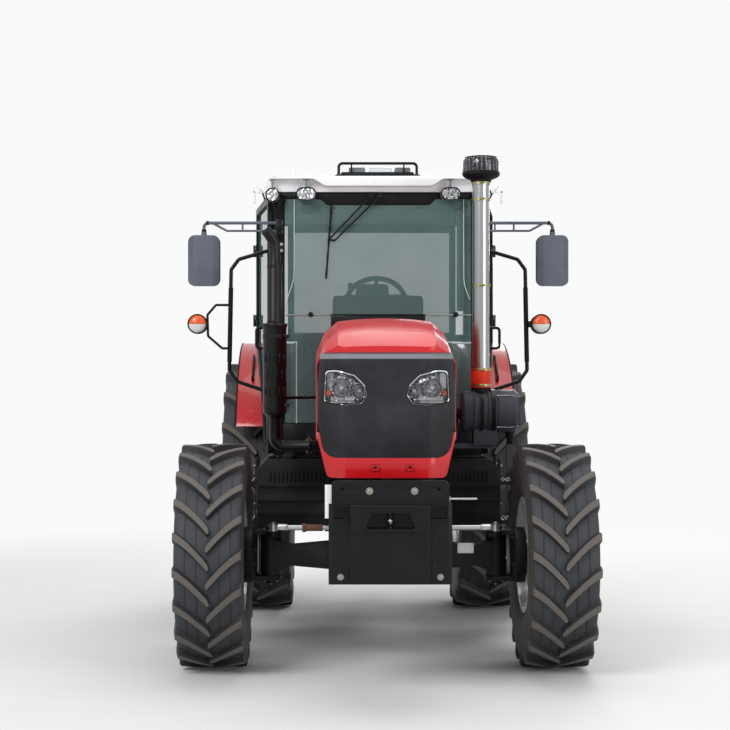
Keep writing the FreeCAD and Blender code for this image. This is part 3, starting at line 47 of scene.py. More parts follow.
# One output socket of a material. Arithmetic on it adds Math nodes.
class Wire:
    def __init__(self, tree, socket=None):
        self.tree = tree
        self.socket = socket

    def node(self, kind, settings=None, inputs=None, output=0):
        made = self.tree.nodes.new("ShaderNode" + kind)
        for name, value in (settings or {}).items():
            if name == "stops":
                points = made.color_ramp.elements
                while len(points) < len(value):
                    points.new(1.0)
                for point, (place, colour) in zip(points, value):
                    point.position = place
                    point.color = colour
            else:
                setattr(made, name, value)
        for name, value in (inputs or {}).items():
            if isinstance(value, Wire):
                self.tree.links.new(value.socket, made.inputs[name])
            else:
                made.inputs[name].default_value = value
        return Wire(self.tree, made.outputs[output])

    def maths(self, operation, *values, clamp=False):
        settings = {"operation": operation, "use_clamp": clamp}
        return self.node("Math", settings, dict(enumerate(values)))

    def __add__(self, other):
        return self.maths("ADD", self, other)

    def __sub__(self, other):
        return self.maths("SUBTRACT", self, other)

    def __rsub__(self, other):
        return self.maths("SUBTRACT", other, self)

    def __mul__(self, other):
        return self.maths("MULTIPLY", self, other)

    def __pow__(self, other):
        return self.maths("POWER", self, other)

    __radd__ = __add__
    __rmul__ = __mul__

    def size(self):
        return self.maths("ABSOLUTE", self)

    def wave(self):
        return self.maths("SINE", self)

    # the X, Y or Z part of a place or direction
    def part(self, axis):
        return self.node("SeparateXYZ", None, {0: self}, axis)

    # 0 below the low value, 1 above the high one
    def between(self, low, high):
        inputs = {"Value": self, "From Min": low, "From Max": high}
        return self.node("MapRange", {"interpolation_type": "SMOOTHSTEP"}, inputs)

    def noise(self, scale, detail=3.0, rough=0.5, stretch=None):
        place = self
        if stretch:
            place = self.node("Mapping", None, {"Vector": self, "Scale": stretch})
        inputs = {"Vector": place, "Scale": scale, "Detail": detail, "Roughness": rough}
        return self.node("TexNoise", None, inputs)

    def cells(self, scale, feature="F1", stretch=None):
        place = self
        if stretch:
            place = self.node("Mapping", None, {"Vector": self, "Scale": stretch})
        return self.node("TexVoronoi", {"feature": feature}, {"Vector": place, "Scale": scale})

    def blend(self, low, high):
        mixer = self.node("Mix", {"data_type": "RGBA"}, {0: self}).socket.node
        for index, value in ((6, low), (7, high)):
            if isinstance(value, Wire):
                self.tree.links.new(value.socket, mixer.inputs[index])
            else:
                mixer.inputs[index].default_value = (*value, 1.0)
        return Wire(self.tree, mixer.outputs[2])

    def bump(self, strength, distance, below=None):
        inputs = {"Height": self, "Strength": strength, "Distance": distance}
        if below:
            inputs["Normal"] = below
        return self.node("Bump", None, inputs)


def srgb(red, green, blue):
    def straight(value):
        value /= 255
        return value / 12.92 if value <= 0.04045 else ((value + 0.055) / 1.055) ** 2.4
    return straight(red), straight(green), straight(blue)


def darker(colour, share):
    return tuple(part * share for part in colour)


# Principled shader with constants on its sockets, and the wire of Object coordinates
def newMaterial(name, **constants):
    material = bpy.data.materials.new(name)
    material.use_nodes = True
    shader = material.node_tree.nodes["Principled BSDF"]
    for socket, value in constants.items():
        shader.inputs[socket.replace("_", " ")].default_value = value
    place = Wire(material.node_tree).node("TexCoord", None, None, "Object")
    return material, shader, place


def feed(place, shader, **links):
    for socket, value in links.items():
        place.tree.links.new(value.socket, shader.inputs[socket.replace("_", " ")])


# Studio and camera

studio = {
    "floorColour": (0.80, 0.80, 0.79),
    "skyColour": (0.95, 0.955, 0.96),
    "skyLight": 0.36,
    # name, place, aim, width, height, watts
    "lamps": [
        ("key", (-5.5, -9.0, 7.5), (0, -0.5, 1.2), 5.0, 4.0, 720),
        ("fill", (7.0, -7.5, 4.0), (0, 0, 1.2), 5.0, 5.0, 300),
        ("top", (0.5, 1.0, 8.5), (0, 0.3, 0), 6.0, 6.0, 280),
        ("rear", (3.0, 9.0, 5.0), (0, 0.5, 1.5), 5.0, 4.0, 400),
    ],
}
view = {
    "place": (-0.290, -9.93, 1.61),
    "imageWidth": 730,
    "focalPixels": 1535,
    "axisPixel": (332.5, 383),
    "sensor": 36.0,
}


def makeStudio():
    world = bpy.data.worlds.new("studio")
    bpy.context.scene.world = world
    world.use_nodes = True
    wire = Wire(world.node_tree)
    seen = wire.node("LightPath", None, None, "Is Camera Ray")
    rays = seen.socket.node
    seen = seen + Wire(seen.tree, rays.outputs["Is Glossy Ray"])
    seen = seen + Wire(seen.tree, rays.outputs["Is Transmission Ray"])
    strength = seen.maths("MINIMUM", seen, 1.0) * (1 - studio["skyLight"]) + studio["skyLight"]
    backdrop = world.node_tree.nodes["Background"]
    backdrop.inputs["Color"].default_value = (*studio["skyColour"], 1.0)
    world.node_tree.links.new(strength.socket, backdrop.inputs["Strength"])

    bpy.ops.mesh.primitive_circle_add(vertices=96, radius=120, fill_type="NGON")
    floor = bpy.context.object
    floor.name = "floor"
    material, shader, place = newMaterial("floorPaint", Roughness=0.85)
    grain = place.noise(3.0).blend(darker(studio["floorColour"], 0.96), studio["floorColour"])
    feed(place, shader, Base_Color=grain)
    far = place.node("VectorMath", {"operation": "LENGTH"}, {0: place}, "Value").between(2.6, 8.0)
    glow = place.node("Emission", None, {"Color": (*studio["skyColour"], 1.0), "Strength": 1.0})
    mixed = place.node("MixShader", None, {0: far, 1: Wire(place.tree, shader.outputs[0]), 2: glow})
    place.tree.links.new(mixed.socket, place.tree.nodes["Material Output"].inputs["Surface"])
    floor.data.materials.append(material)

    for name, spot, aim, width, height, watts in studio["lamps"]:
        light = bpy.data.lights.new(name, "AREA")
        light.shape = "RECTANGLE"
        light.size = width
        light.size_y = height
        light.energy = watts
        lamp = bpy.data.objects.new(name, light)
        lamp.location = spot
        away = [a - b for a, b in zip(spot, aim)]
        turn = math.atan2(away[0], -away[1])
        tilt = math.atan2(math.hypot(away[0], away[1]), away[2])
        lamp.rotation_euler = (tilt, 0, turn)
        bpy.context.scene.collection.objects.link(lamp)


def makeCamera():
    lens = bpy.data.cameras.new("view")
    lens.sensor_width = view["sensor"]
    lens.lens = view["sensor"] * view["focalPixels"] / view["imageWidth"]
    middle = view["imageWidth"] / 2
    lens.shift_x = (middle - view["axisPixel"][0]) / view["imageWidth"]
    lens.shift_y = (view["axisPixel"][1] - middle) / view["imageWidth"]
    camera = bpy.data.objects.new("view", lens)
    camera.location = view["place"]
    camera.rotation_euler = (math.radians(90), 0, 0)
    bpy.context.scene.collection.objects.link(camera)
    bpy.context.scene.camera = camera


makeStudio()
makeCamera()
bpy.context.scene.view_settings.view_transform = "Standard"
print("studio and camera ready")


# Finishes

finish = {}
wheelPlaces = {
    # wheel centre along Y and up, tyre radius, lug height, half width, middle across
    "front": {"y": -1.180, "z": 0.6325, "radius": 0.6325, "lug": 0.036, "half": 0.189, "x": 0.957,
              "seat": 0.305, "rimHalf": 0.165},
    "rear": {"y": 1.220, "z": 0.8775, "radius": 0.8775, "lug": 0.042, "half": 0.2335, "x": 0.810,
             "seat": 0.483, "rimHalf": 0.203},
}


# Road dust: thick low down and on faces that look up
def dustOn(place, amount, top=1.6):
    height = 1 - place.part("Z").between(0.1, top)
    upward = place.node("NewGeometry", None, None, "Normal").part("Z").between(0.35, 1.0)
    patches = place.noise(2.3, 5.0, 0.6).between(0.38, 0.72)
    return (height * patches * 0.7 + upward * place.noise(7.0, 4.0, 0.6).between(0.35, 0.75) * 0.5) * amount


paints = {
    # colour, roughness, coat, dust, grain size, grain depth, mirror share
    "redPaint": (srgb(196, 12, 24), 0.32, 0.35, 0.10, 900, 0.00010, 0.35),
    "chassisPaint": (srgb(17, 18, 20), 0.42, 0.03, 0.16, 160, 0.00045, 0.14),
    "castPaint": (srgb(15, 16, 17), 0.34, 0.05, 0.06, 75, 0.00110, 0.16),
    "blackPaint": (srgb(14, 15, 16), 0.30, 0.05, 0.06, 500, 0.00018, 0.14),
    "stackPaint": (srgb(16, 16, 17), 0.34, 0.03, 0.08, 240, 0.00030, 0.20),
    "grayPaint": (srgb(70, 73, 76), 0.45, 0.10, 0.20, 300, 0.00025, 0.30),
}
dustColour = srgb(128, 118, 106)


def makePaints():
    for name, (colour, roughness, coat, dust, size, depth, mirror) in paints.items():
        material, shader, place = newMaterial(name, Coat_Roughness=0.06, Specular_IOR_Level=mirror)
        shade = place.noise(1.7, 2.0).blend(darker(colour, 0.88), darker(colour, 1.08))
        layer = dustOn(place, dust)
        scuffs = place.noise(38.0, 6.0, 0.72).between(0.64, 0.74)
        shade = layer.blend(shade, dustColour)
        shade = (scuffs * 0.22).blend(shade, darker(dustColour, 0.8))
        rough = place.noise(5.0, 3.0).between(0.2, 0.8) * 0.12 + (roughness - 0.04) + layer * 0.35
        grain = place.noise(size, 2.0, 0.5).bump(0.6, depth)
        feed(place, shader, Base_Color=shade, Roughness=rough, Coat_Weight=(1 - layer * 1.6) * coat,
            Normal=grain)
        finish[name] = material


plastics = {
    # colour, roughness, grain size, grain depth
    "blackPlastic": (srgb(20, 21, 23), 0.48, 420, 0.00025),
    "deepPlastic": (srgb(12, 13, 14), 0.60, 300, 0.00020),
    "shellPlastic": (srgb(92, 97, 107), 0.44, 420, 0.00020),
    "filterPlastic": (srgb(60, 63, 70), 0.46, 380, 0.00020),
    "grayPlastic": (srgb(120, 124, 126), 0.50, 380, 0.00020),
    "sealRubber": (srgb(14, 14, 15), 0.66, 240, 0.00020),
    "orangeHose": (srgb(206, 52, 24), 0.42, 200, 0.00020),
    "whiteWire": (srgb(196, 198, 198), 0.50, 300, 0.00010),
}


def makePlastics():
    for name, (colour, roughness, size, depth) in plastics.items():
        material, shader, place = newMaterial(name, Specular_IOR_Level=0.16)
        shade = place.noise(9.0, 4.0).blend(darker(colour, 0.8), darker(colour, 1.2))
        layer = dustOn(place, 0.14, 2.2)
        rough = place.noise(14.0, 3.0) * 0.16 + (roughness - 0.08)
        grain = place.cells(size).bump(0.5, depth)
        feed(place, shader, Base_Color=layer.blend(shade, dustColour), Roughness=rough, Normal=grain)
        finish[name] = material


# the light grey serves both the random dust and the painted reflection on the leaning band
maskFinish = {"colour": srgb(29, 31, 34), "dots": 230.0, "dustAndSheenGrey": srgb(128, 129, 136)}


# Mask: moulded in a fine square mesh with random dust; the band where it leans back is painted light grey as
# a painted reflection
def makeMaskFinish():
    material, shader, place = newMaterial("maskPlastic", Specular_IOR_Level=0.18)
    across = (place.part("X") * (maskFinish["dots"] * math.pi)).wave().size()
    upward = (place.part("Z") * (maskFinish["dots"] * math.pi)).wave().size()
    mesh = across * upward
    dustAndLeanSheen = place.noise(3.2, 5.0, 0.65).between(0.3, 0.8) * 0.11
    # painted reflection: the band from 1.74 to 1.78 up, where the mask leans back, is blended almost fully to
    # the light grey
    leanBandSheen = place.part("Z").between(1.736, 1.743) * (1 - place.part("Z").between(1.776, 1.780))
    dustAndLeanSheen = dustAndLeanSheen + place.noise(900, 2.0).between(0.45, 0.7) * 0.07 + leanBandSheen * (place.noise(60, 3.0) * 0.3 + 0.85)
    shade = dustAndLeanSheen.blend(mesh.blend(darker(maskFinish["colour"], 0.62), maskFinish["colour"]),
        maskFinish["dustAndSheenGrey"])
    feed(place, shader, Base_Color=shade, Roughness=place.noise(6.0) * 0.14 + 0.40,
        Normal=mesh.bump(0.5, 0.0006))
    finish["maskPlastic"] = material


roofFinish = {"colour": srgb(229, 232, 234), "stain": srgb(176, 176, 172)}


def makeRoofFinish():
    material, shader, place = newMaterial("roofWhite", Coat_Weight=0.3, Coat_Roughness=0.1)
    streaks = place.noise(5.0, 5.0, 0.6, (3.0, 3.0, 0.6)).between(0.5, 0.85) * 0.22
    feed(place, shader, Base_Color=streaks.blend(roofFinish["colour"], roofFinish["stain"]),
        Roughness=place.noise(8.0) * 0.15 + 0.28, Normal=place.noise(260, 2.0).bump(0.4, 0.0002))
    finish["roofWhite"] = material


metals = {
    # colour, roughness, brushing across, along, up
    "stackSteel": (srgb(158, 160, 160), 0.20, (60, 60, 1.5)),
    "rodSteel": (srgb(176, 178, 180), 0.28, (40, 40, 4)),
    "boltSteel": (srgb(150, 148, 142), 0.38, (30, 30, 30)),
    "chrome": (srgb(236, 238, 240), 0.07, (20, 20, 20)),
    "rustyIron": (srgb(112, 74, 58), 0.70, (90, 90, 90)),
    "oliveSteel": (srgb(150, 144, 104), 0.34, (30, 30, 30)),
    "mirrorGlass": (srgb(214, 220, 224), 0.05, (3, 3, 3)),
}


def makeMetals():
    for name, (colour, roughness, brushing) in metals.items():
        material, shader, place = newMaterial(name, Metallic=0.35 if name == "rustyIron" else 1.0)
        streaks = place.noise(12.0, 4.0, 0.6, brushing)
        shade = streaks.blend(darker(colour, 0.82), darker(colour, 1.04))
        spots = place.noise(26.0, 6.0, 0.7).between(0.62, 0.72) * 0.35
        shade = spots.blend(shade, darker(colour, 0.55))
        feed(place, shader, Base_Color=shade, Roughness=streaks * 0.14 + (roughness - 0.05) + spots * 0.3,
            Normal=streaks.bump(0.15, 0.0003))
        finish[name] = material


# Lamp reflector pressed in small facets; each facet's colour runs from dark to bright as a painted reflection
def makeReflector():
    material, shader, place = newMaterial("reflector", Metallic=1.0)
    facets = place.cells(46.0)
    # painted reflection: colour goes from dark grey at each facet's middle to near white towards its edge
    feed(place, shader, Base_Color=facets.blend(srgb(92, 96, 102), srgb(246, 248, 250)),
        Roughness=facets * 0.08 + 0.07, Normal=facets.bump(0.9, 0.006))
    finish["reflector"] = material


rimFinish = {"colour": srgb(196, 199, 203), "dirt": srgb(120, 112, 102)}


def makeRimFinish():
    material, shader, place = newMaterial("rimSilver", Metallic=0.35, Coat_Weight=0.3, Coat_Roughness=0.12)
    dirt = place.noise(7.0, 6.0, 0.66).between(0.45, 0.8) * 0.4
    feed(place, shader, Base_Color=dirt.blend(rimFinish["colour"], rimFinish["dirt"]),
        Roughness=dirt * 0.5 + 0.30, Normal=place.noise(220, 3.0).bump(0.4, 0.0003))
    finish["rimSilver"] = material


# gap: bluish grey for powder and a painted sky highlight between the lugs
rubber = {"flank": srgb(31, 31, 33), "gap": srgb(56, 58, 64), "top": srgb(94, 88, 83),
          "wall": srgb(76, 71, 67), "scuff": srgb(124, 116, 108)}


# Tyre rubber knows its wheel's centre: dusty flat lug tops, dark flanks, dusty walls, and gaps in powder with
# a painted bluish sky highlight
def makeTyreFinish(name, wheel):
    material, shader, place = newMaterial(name)
    across = (place.part("X").size() - wheel["x"]).size()
    deep = place.part("Y") - wheel["y"]
    high = place.part("Z") - wheel["z"]
    reach = (deep * deep + high * high) ** 0.5
    crown = wheel["radius"] - wheel["lug"]
    fine = place.noise(90, 5.0, 0.62)
    broad = place.noise(9.0, 4.0, 0.6)
    topLine = across * across * (-0.006 / wheel["half"] ** 2) + (wheel["radius"] - 0.003)
    onTop = (reach - topLine).between(-0.0015, 0.001)
    # powder and painted highlight: the floor between the lugs is blended in patches towards the bluish gap
    # colour
    gapPowderAndHighlight = (1 - (reach - crown).between(0.001, 0.007)) * (1 - across.between(wheel["half"] * 0.93,
        wheel["half"] * 0.97))
    onWall = across.between(wheel["half"] * 0.93, wheel["half"] * 0.96) * (1 - onTop)
    shade = (gapPowderAndHighlight * (fine * 0.8 + broad * 0.5)).blend(rubber["flank"], rubber["gap"])
    shade = (onWall * (broad * 0.7 + fine * 0.5)).blend(shade, rubber["wall"])
    shade = (onTop * (fine * 0.5 + 0.62)).blend(shade, rubber["top"])
    shade = (fine.between(0.62, 0.75) * 0.3).blend(shade, rubber["scuff"])
    turn = deep.maths("ARCTAN2", deep, high)
    ribs = (turn * 260.0).wave() * onWall
    grain = (fine * 0.7 + ribs * 0.25).bump(0.55, 0.0012)
    feed(place, shader, Base_Color=shade, Roughness=fine * 0.2 + 0.58, Normal=grain)
    finish[name] = material


glassKinds = {
    # tint, alpha face on, roughness
    "cabGlass": (srgb(104, 138, 136), 0.33, 0.02),
    "lampGlass": (srgb(120, 126, 130), 0.04, 0.03),
    "bowlClear": (srgb(62, 68, 74), 0.50, 0.05),
    "amberLens": (srgb(238, 92, 22), 0.88, 0.12),
    "redLens": (srgb(190, 16, 18), 0.9, 0.12),
    "whiteLens": (srgb(232, 232, 228), 0.80, 0.14),
}


# Clear and tinted parts let the light through face on and mirror it at a slant
def makeGlass():
    for name, (tint, opaque, roughness) in glassKinds.items():
        material, shader, place = newMaterial(name, IOR=1.5, Coat_Weight=0.25, Coat_Roughness=0.02,
            Specular_IOR_Level=0.5)
        slant = place.node("LayerWeight", None, {"Blend": 0.35}, "Fresnel")
        film = place.noise(4.0, 5.0, 0.6).between(0.4, 0.8) * 0.06
        alpha = (slant * 0.75 + film + opaque).maths("MINIMUM", slant * 0.75 + film + opaque, 0.97)
        shade = place.noise(2.4, 3.0).blend(darker(tint, 0.9), tint)
        feed(place, shader, Base_Color=shade, Alpha=alpha, Roughness=film * 1.5 + roughness)
        if name == "bowlClear":
            turn = place.maths("ARCTAN2", place.part("Y") + 0.630, place.part("X") - 0.610)
            stripes = (turn * 26.0).wave().between(0.1, 0.95) * place.noise(30.0).between(0.3, 0.7)
            feed(place, shader, Base_Color=stripes.blend(darker(tint, 0.5), srgb(168, 176, 182)))
        if name in ("amberLens", "redLens", "whiteLens", "lampGlass"):
            ribs = (place.part("X") * 700).wave() * (place.part("Z") * 700).wave()
            feed(place, shader, Normal=ribs.bump(0.25, 0.0008))
        finish[name] = material


fabric = {"colour": srgb(46, 47, 51), "thread": srgb(88, 90, 96), "pitch": 2600.0}


def makeFabric():
    material, shader, place = newMaterial("seatCloth", Sheen_Weight=0.35, Sheen_Roughness=0.5)
    warp = (place.part("X") * fabric["pitch"]).wave()
    weft = ((place.part("Y") + place.part("Z")) * fabric["pitch"]).wave()
    weave = warp * weft * 0.5 + 0.5
    shade = (weave * 0.5 + place.noise(70, 3.0) * 0.3).blend(fabric["colour"], fabric["thread"])
    feed(place, shader, Base_Color=shade, Roughness=weave * 0.1 + 0.80, Normal=weave.bump(0.4, 0.0006))
    finish["seatCloth"] = material
    material, shader, place = newMaterial("floorMat")
    ridges = (place.part("X") * 420).wave().between(-0.2, 0.6)
    mud = place.noise(11.0, 5.0, 0.65).between(0.5, 0.8) * 0.5
    feed(place, shader, Base_Color=mud.blend(ridges.blend(srgb(24, 24, 25), srgb(42, 42, 43)), dustColour),
        Roughness=mud * 0.2 + 0.72, Normal=ridges.bump(0.6, 0.002))
    finish["floorMat"] = material


makePaints()
makePlastics()
makeMaskFinish()
makeRoofFinish()
makeMetals()
makeReflector()
makeRimFinish()
for wheelName, wheel in wheelPlaces.items():
    makeTyreFinish(wheelName + "Rubber", wheel)
makeGlass()
makeFabric()

slotFinish = {
    "red_paint": "redPaint", "black_paint": "blackPaint", "chassis_paint": "chassisPaint",
    "rod_steel": "rodSteel", "stack_steel": "stackSteel", "tyre_rubber": "frontRubber",
    "rim_paint": "rimSilver", "black_plastic": "blackPlastic", "white_plastic": "roofWhite",
    "cab_glass": "cabGlass", "lamp_glass": "lampGlass", "signal_plastic": "amberLens",
    "clear_bowl": "bowlClear", "seat_fabric": "seatCloth", "floor_rubber": "floorMat",
}
nodeSlot = {}
nodeBody = {}
for part in frame["record"]["subparts"]:
    nodeSlot[part["node"]] = part["material_slot"]
    item = nodes[part["node"]]
    item.data.materials.clear()
    item.data.materials.append(finish[slotFinish[part["material_slot"]]])
for body, members in frame["record"]["behaviour"]["bodies"].items():
    for member in members:
        nodeBody[member] = body
print("finishes ready")


# Modelling helpers

def takeUp(item):
    bpy.ops.object.select_all(action="DESELECT")
    item.select_set(True)
    bpy.context.view_layer.objects.active = item


def openMesh(item, kind="VERT", chosen="SELECT"):
    takeUp(item)
    bpy.ops.object.mode_set(mode="EDIT")
    bpy.ops.mesh.select_mode(type=kind)
    bpy.ops.mesh.select_all(action=chosen)


def closeMesh():
    bpy.ops.object.mode_set(mode="OBJECT")


# Ends a mesh edit with every face turned outwards
def facesOut():
    bpy.ops.mesh.select_all(action="SELECT")
    bpy.ops.mesh.normals_make_consistent(inside=False)
    closeMesh()


def applyPlace(item):
    takeUp(item)
    bpy.ops.object.transform_apply(location=True, rotation=True, scale=True)


def useModifier(item, kind, **settings):
    takeUp(item)
    modifier = item.modifiers.new(kind.lower(), kind)
    for name, value in settings.items():
        setattr(modifier, name, value)
    bpy.ops.object.modifier_apply(modifier=modifier.name)


def roundEdges(item, width, steps=2, angle=30):
    useModifier(item, "BEVEL", width=width, segments=steps, limit_method="ANGLE",
        angle_limit=math.radians(angle), use_clamp_overlap=True)


def joined(items):
    bpy.ops.object.select_all(action="DESELECT")
    for item in items:
        item.select_set(True)
    bpy.context.view_layer.objects.active = items[0]
    bpy.ops.object.join()
    return bpy.context.object


# The slot that each finish usually stands for
finishGroups = {
    "red_paint": "redPaint",
    "black_paint": "blackPaint stackPaint",
    "chassis_paint": "chassisPaint castPaint grayPaint",
    "rod_steel": "rodSteel boltSteel mirrorGlass oliveSteel rustyIron",
    "stack_steel": "stackSteel",
    "black_plastic": "blackPlastic deepPlastic filterPlastic shellPlastic grayPlastic maskPlastic sealRubber",
    "white_plastic": "whiteWire roofWhite",
    "signal_plastic": "orangeHose amberLens redLens",
    "lamp_glass": "lampGlass reflector chrome whiteLens",
    "clear_bowl": "bowlClear",
    "seat_fabric": "seatCloth",
    "floor_rubber": "floorMat",
}
usualSlot = {name: slot for slot, group in finishGroups.items() for name in group.split()}
allBodies = frame["record"]["behaviour"]["bodies"]


# Names a finished piece, gives it its finish and lets it ride
def place(item, name, finishName, slotName=None, body="chassis", smooth=35, stands=()):
    if isinstance(item, list):
        item = joined(item)
    slotName = slotName or usualSlot[finishName]
    applyPlace(item)
    bpy.ops.object.shade_smooth_by_angle(angle=math.radians(smooth))
    item.name = name
    item.data.name = name
    item.data.materials.clear()
    item.data.materials.append(finish[finishName])
    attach(item, body)
    if stands:
        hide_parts(*stands)
    return item


def mirroredCopy(item):
    other = item.copy()
    other.data = item.data.copy()
    bpy.context.scene.collection.objects.link(other)
    other.scale = (-1, 1, 1)
    applyPlace(other)
    openMesh(other)
    bpy.ops.mesh.normals_make_consistent(inside=False)
    closeMesh()
    return other


# The same piece on both sides; the given one is on the left, +X. "door" means door_left and door_right
def placeBoth(item, name, finishName, slotName=None, bodies="chassis", smooth=35, stands=((), ())):
    if isinstance(item, list):
        item = joined(item)
    pieces = (item, mirroredCopy(item))
    for piece, side, stand in zip(pieces, ("_left", "_right"), stands):
        own = bodies + side if bodies + side in allBodies else bodies
        place(piece, name + side, finishName, slotName, own, smooth, stand)


def block(low, high, round=0.002, steps=2):
    middle = [(a + b) / 2 for a, b in zip(low, high)]
    bpy.ops.mesh.primitive_cube_add(size=1, location=middle)
    item = bpy.context.object
    item.scale = [abs(b - a) for a, b in zip(low, high)]
    applyPlace(item)
    if round:
        roundEdges(item, round, steps)
    return item


def rod(start, end, radius, sides=24, tip=None, round=0.0015):
    start, end = Vector(start), Vector(end)
    along = end - start
    bpy.ops.mesh.primitive_cone_add(vertices=sides, radius1=radius, radius2=radius if tip is None else tip,
        depth=along.length, location=(start + end) / 2, rotation=along.to_track_quat("Z", "Y").to_euler())
    item = bpy.context.object
    applyPlace(item)
    if round:
        roundEdges(item, round, 2, 40)
    return item


def ring(middle, axis, radius, thick, steps=40, sides=10):
    turn = Vector(axis).to_track_quat("Z", "Y").to_euler()
    bpy.ops.mesh.primitive_torus_add(location=middle, rotation=turn, major_radius=radius, minor_radius=thick,
        major_segments=steps, minor_segments=sides)
    item = bpy.context.object
    applyPlace(item)
    return item


# A chain of points, extruded from one vertex
def chain(points):
    bpy.ops.mesh.primitive_plane_add(size=0.01)
    item = bpy.context.object
    openMesh(item)
    bpy.ops.mesh.merge(type="CENTER")
    bpy.ops.transform.translate(value=points[0])
    for before, after in zip(points, points[1:]):
        step = [b - a for a, b in zip(before, after)]
        bpy.ops.mesh.extrude_vertices_move(TRANSFORM_OT_translate={"value": step})
    closeMesh()
    return item


# Profile of (along, radius) points spun round an axis
def lathe(profile, middle, axis="X", steps=48):
    x, y, z = middle
    turned = {"X": [(x + a, y, z + r) for a, r in profile], "Y": [(x, y + a, z + r) for a, r in profile],
        "Z": [(x + r, y, z + a) for a, r in profile]}[axis]
    item = chain(turned)
    openMesh(item)
    spinAxis = {"X": (1, 0, 0), "Y": (0, 1, 0), "Z": (0, 0, 1)}[axis]
    bpy.ops.mesh.spin(steps=steps, angle=2 * math.pi, center=middle, axis=spinAxis)
    bpy.ops.mesh.select_all(action="SELECT")
    bpy.ops.mesh.remove_doubles(threshold=0.00002)
    bpy.ops.mesh.normals_make_consistent(inside=False)
    closeMesh()
    return item


# Even copies of a piece all the way round an axis
def copiesRound(item, count, middle, axis):
    openMesh(item)
    bpy.ops.mesh.spin(steps=count - 1, dupli=True, angle=2 * math.pi * (1 - 1 / count), center=middle,
        axis=axis)
    closeMesh()


# Corners with a third value are rounded by that radius
def softCorners(points, steps=5):
    result = []
    for number, point in enumerate(points):
        if len(point) < 3:
            result.append(tuple(point))
            continue
        corner = Vector(point[:2])
        before = (Vector(points[number - 1][:2]) - corner).normalized()
        after = (Vector(points[(number + 1) % len(points)][:2]) - corner).normalized()
        half = before.angle(after) / 2
        centre = corner + (before + after).normalized() * point[2] / math.sin(half)
        start = corner + before * point[2] / math.tan(half) - centre
        end = corner + after * point[2] / math.tan(half) - centre
        turn = start.angle_signed(end)
        for step in range(steps + 1):
            result.append(tuple(centre + Matrix.Rotation(-turn * step / steps, 2) @ start))
    return result


# Outline of (across, up) points pushed square to its plane
def plate(outline, plane, start, end, round=0.0015):
    spots = {"xz": lambda a, b: (a, start, b), "yz": lambda a, b: (start, a, b), "xy": lambda a,
        b: (a, b, start)}
    push = {"xz": (0, end - start, 0), "yz": (end - start, 0, 0), "xy": (0, 0, end - start)}[plane]
    item = chain([spots[plane](a, b) for a, b in softCorners(outline)])
    openMesh(item)
    bpy.ops.mesh.edge_face_add()
    bpy.ops.mesh.extrude_region_move(TRANSFORM_OT_translate={"value": push})
    facesOut()
    if round:
        roundEdges(item, round, 2, 40)
    return item


# Round bar along points, its corners eased by the curve's own handles
def pipe(points, radius, closed=False, bend=0.02, sides=3):
    line = bpy.data.curves.new("line", "CURVE")
    line.dimensions = "3D"
    line.bevel_depth = radius
    line.bevel_resolution = sides
    line.use_fill_caps = True
    eased = []
    last = len(points) - 1
    for number, point in enumerate(points):
        spot = Vector(point)
        if not closed and number in (0, last):
            eased.append(spot)
            continue
        before = Vector(points[number - 1]) - spot
        after = Vector(points[(number + 1) % len(points)]) - spot
        cut = min(bend, before.length * 0.45, after.length * 0.45)
        start, end = spot + before.normalized() * cut, spot + after.normalized() * cut
        for share in (0, 0.2, 0.4, 0.6, 0.8, 1.0):
            eased.append(start.lerp(spot, share).lerp(spot.lerp(end, share), share))
    run = line.splines.new("POLY")
    run.points.add(len(eased) - 1)
    for target, spot in zip(run.points, eased):
        target.co = (*spot, 1.0)
    run.use_cyclic_u = closed
    item = bpy.data.objects.new("line", line)
    bpy.context.scene.collection.objects.link(item)
    takeUp(item)
    bpy.ops.object.convert(target="MESH")
    item = bpy.context.object
    openMesh(item)
    bpy.ops.mesh.remove_doubles(threshold=0.00001)
    bpy.ops.mesh.normals_make_consistent(inside=False)
    closeMesh()
    return item


# Closed outlines of the same count, the first one filled and extruded through the others
def loft(sections):
    bpy.ops.mesh.primitive_circle_add(vertices=len(sections[0]), fill_type="NGON")
    item = bpy.context.object
    openMesh(item, "FACE")
    shape = bmesh.from_edit_mesh(item.data)
    shape.faces.ensure_lookup_table()
    for loop, spot in zip(shape.faces[0].loops, sections[0]):
        loop.vert.co = spot
    for before, after in zip(sections, sections[1:]):
        bpy.ops.mesh.extrude_region_move()
        shape = bmesh.from_edit_mesh(item.data)
        for vertex in [v for v in shape.verts if v.select]:
            number = min(range(len(before)), key=lambda n: (Vector(before[n]) - vertex.co).length)
            vertex.co = after[number]
        bmesh.update_edit_mesh(item.data)
    facesOut()
    return item


# Hexagon bolt with its washer, modelled once a size and copied; the axis points out of the surface
boltShapes = {}


def bolt(spot, axis, size=0.012):
    if size not in boltShapes:
        first = joined([rod((0, 0, 0), (0, 0, size * 0.62), size * 0.58, 6, None, size * 0.06),
            rod((0, 0, -0.001), (0, 0, size * 0.14), size * 0.92, 20, None, 0)])
        boltShapes[size] = first.data
        bpy.context.scene.collection.objects.unlink(first)
    item = bpy.data.objects.new("bolt", boltShapes[size].copy())
    turn = Vector(axis).to_track_quat("Z", "Y").to_matrix().to_4x4()
    item.data.transform(Matrix.Translation(spot) @ turn)
    bpy.context.scene.collection.objects.link(item)
    return item


def boltRow(spots, axis, name, size=0.012, body="chassis", finishName="boltSteel", slotName="rod_steel"):
    return place([bolt(spot, axis, size) for spot in spots], name, finishName, slotName, body)


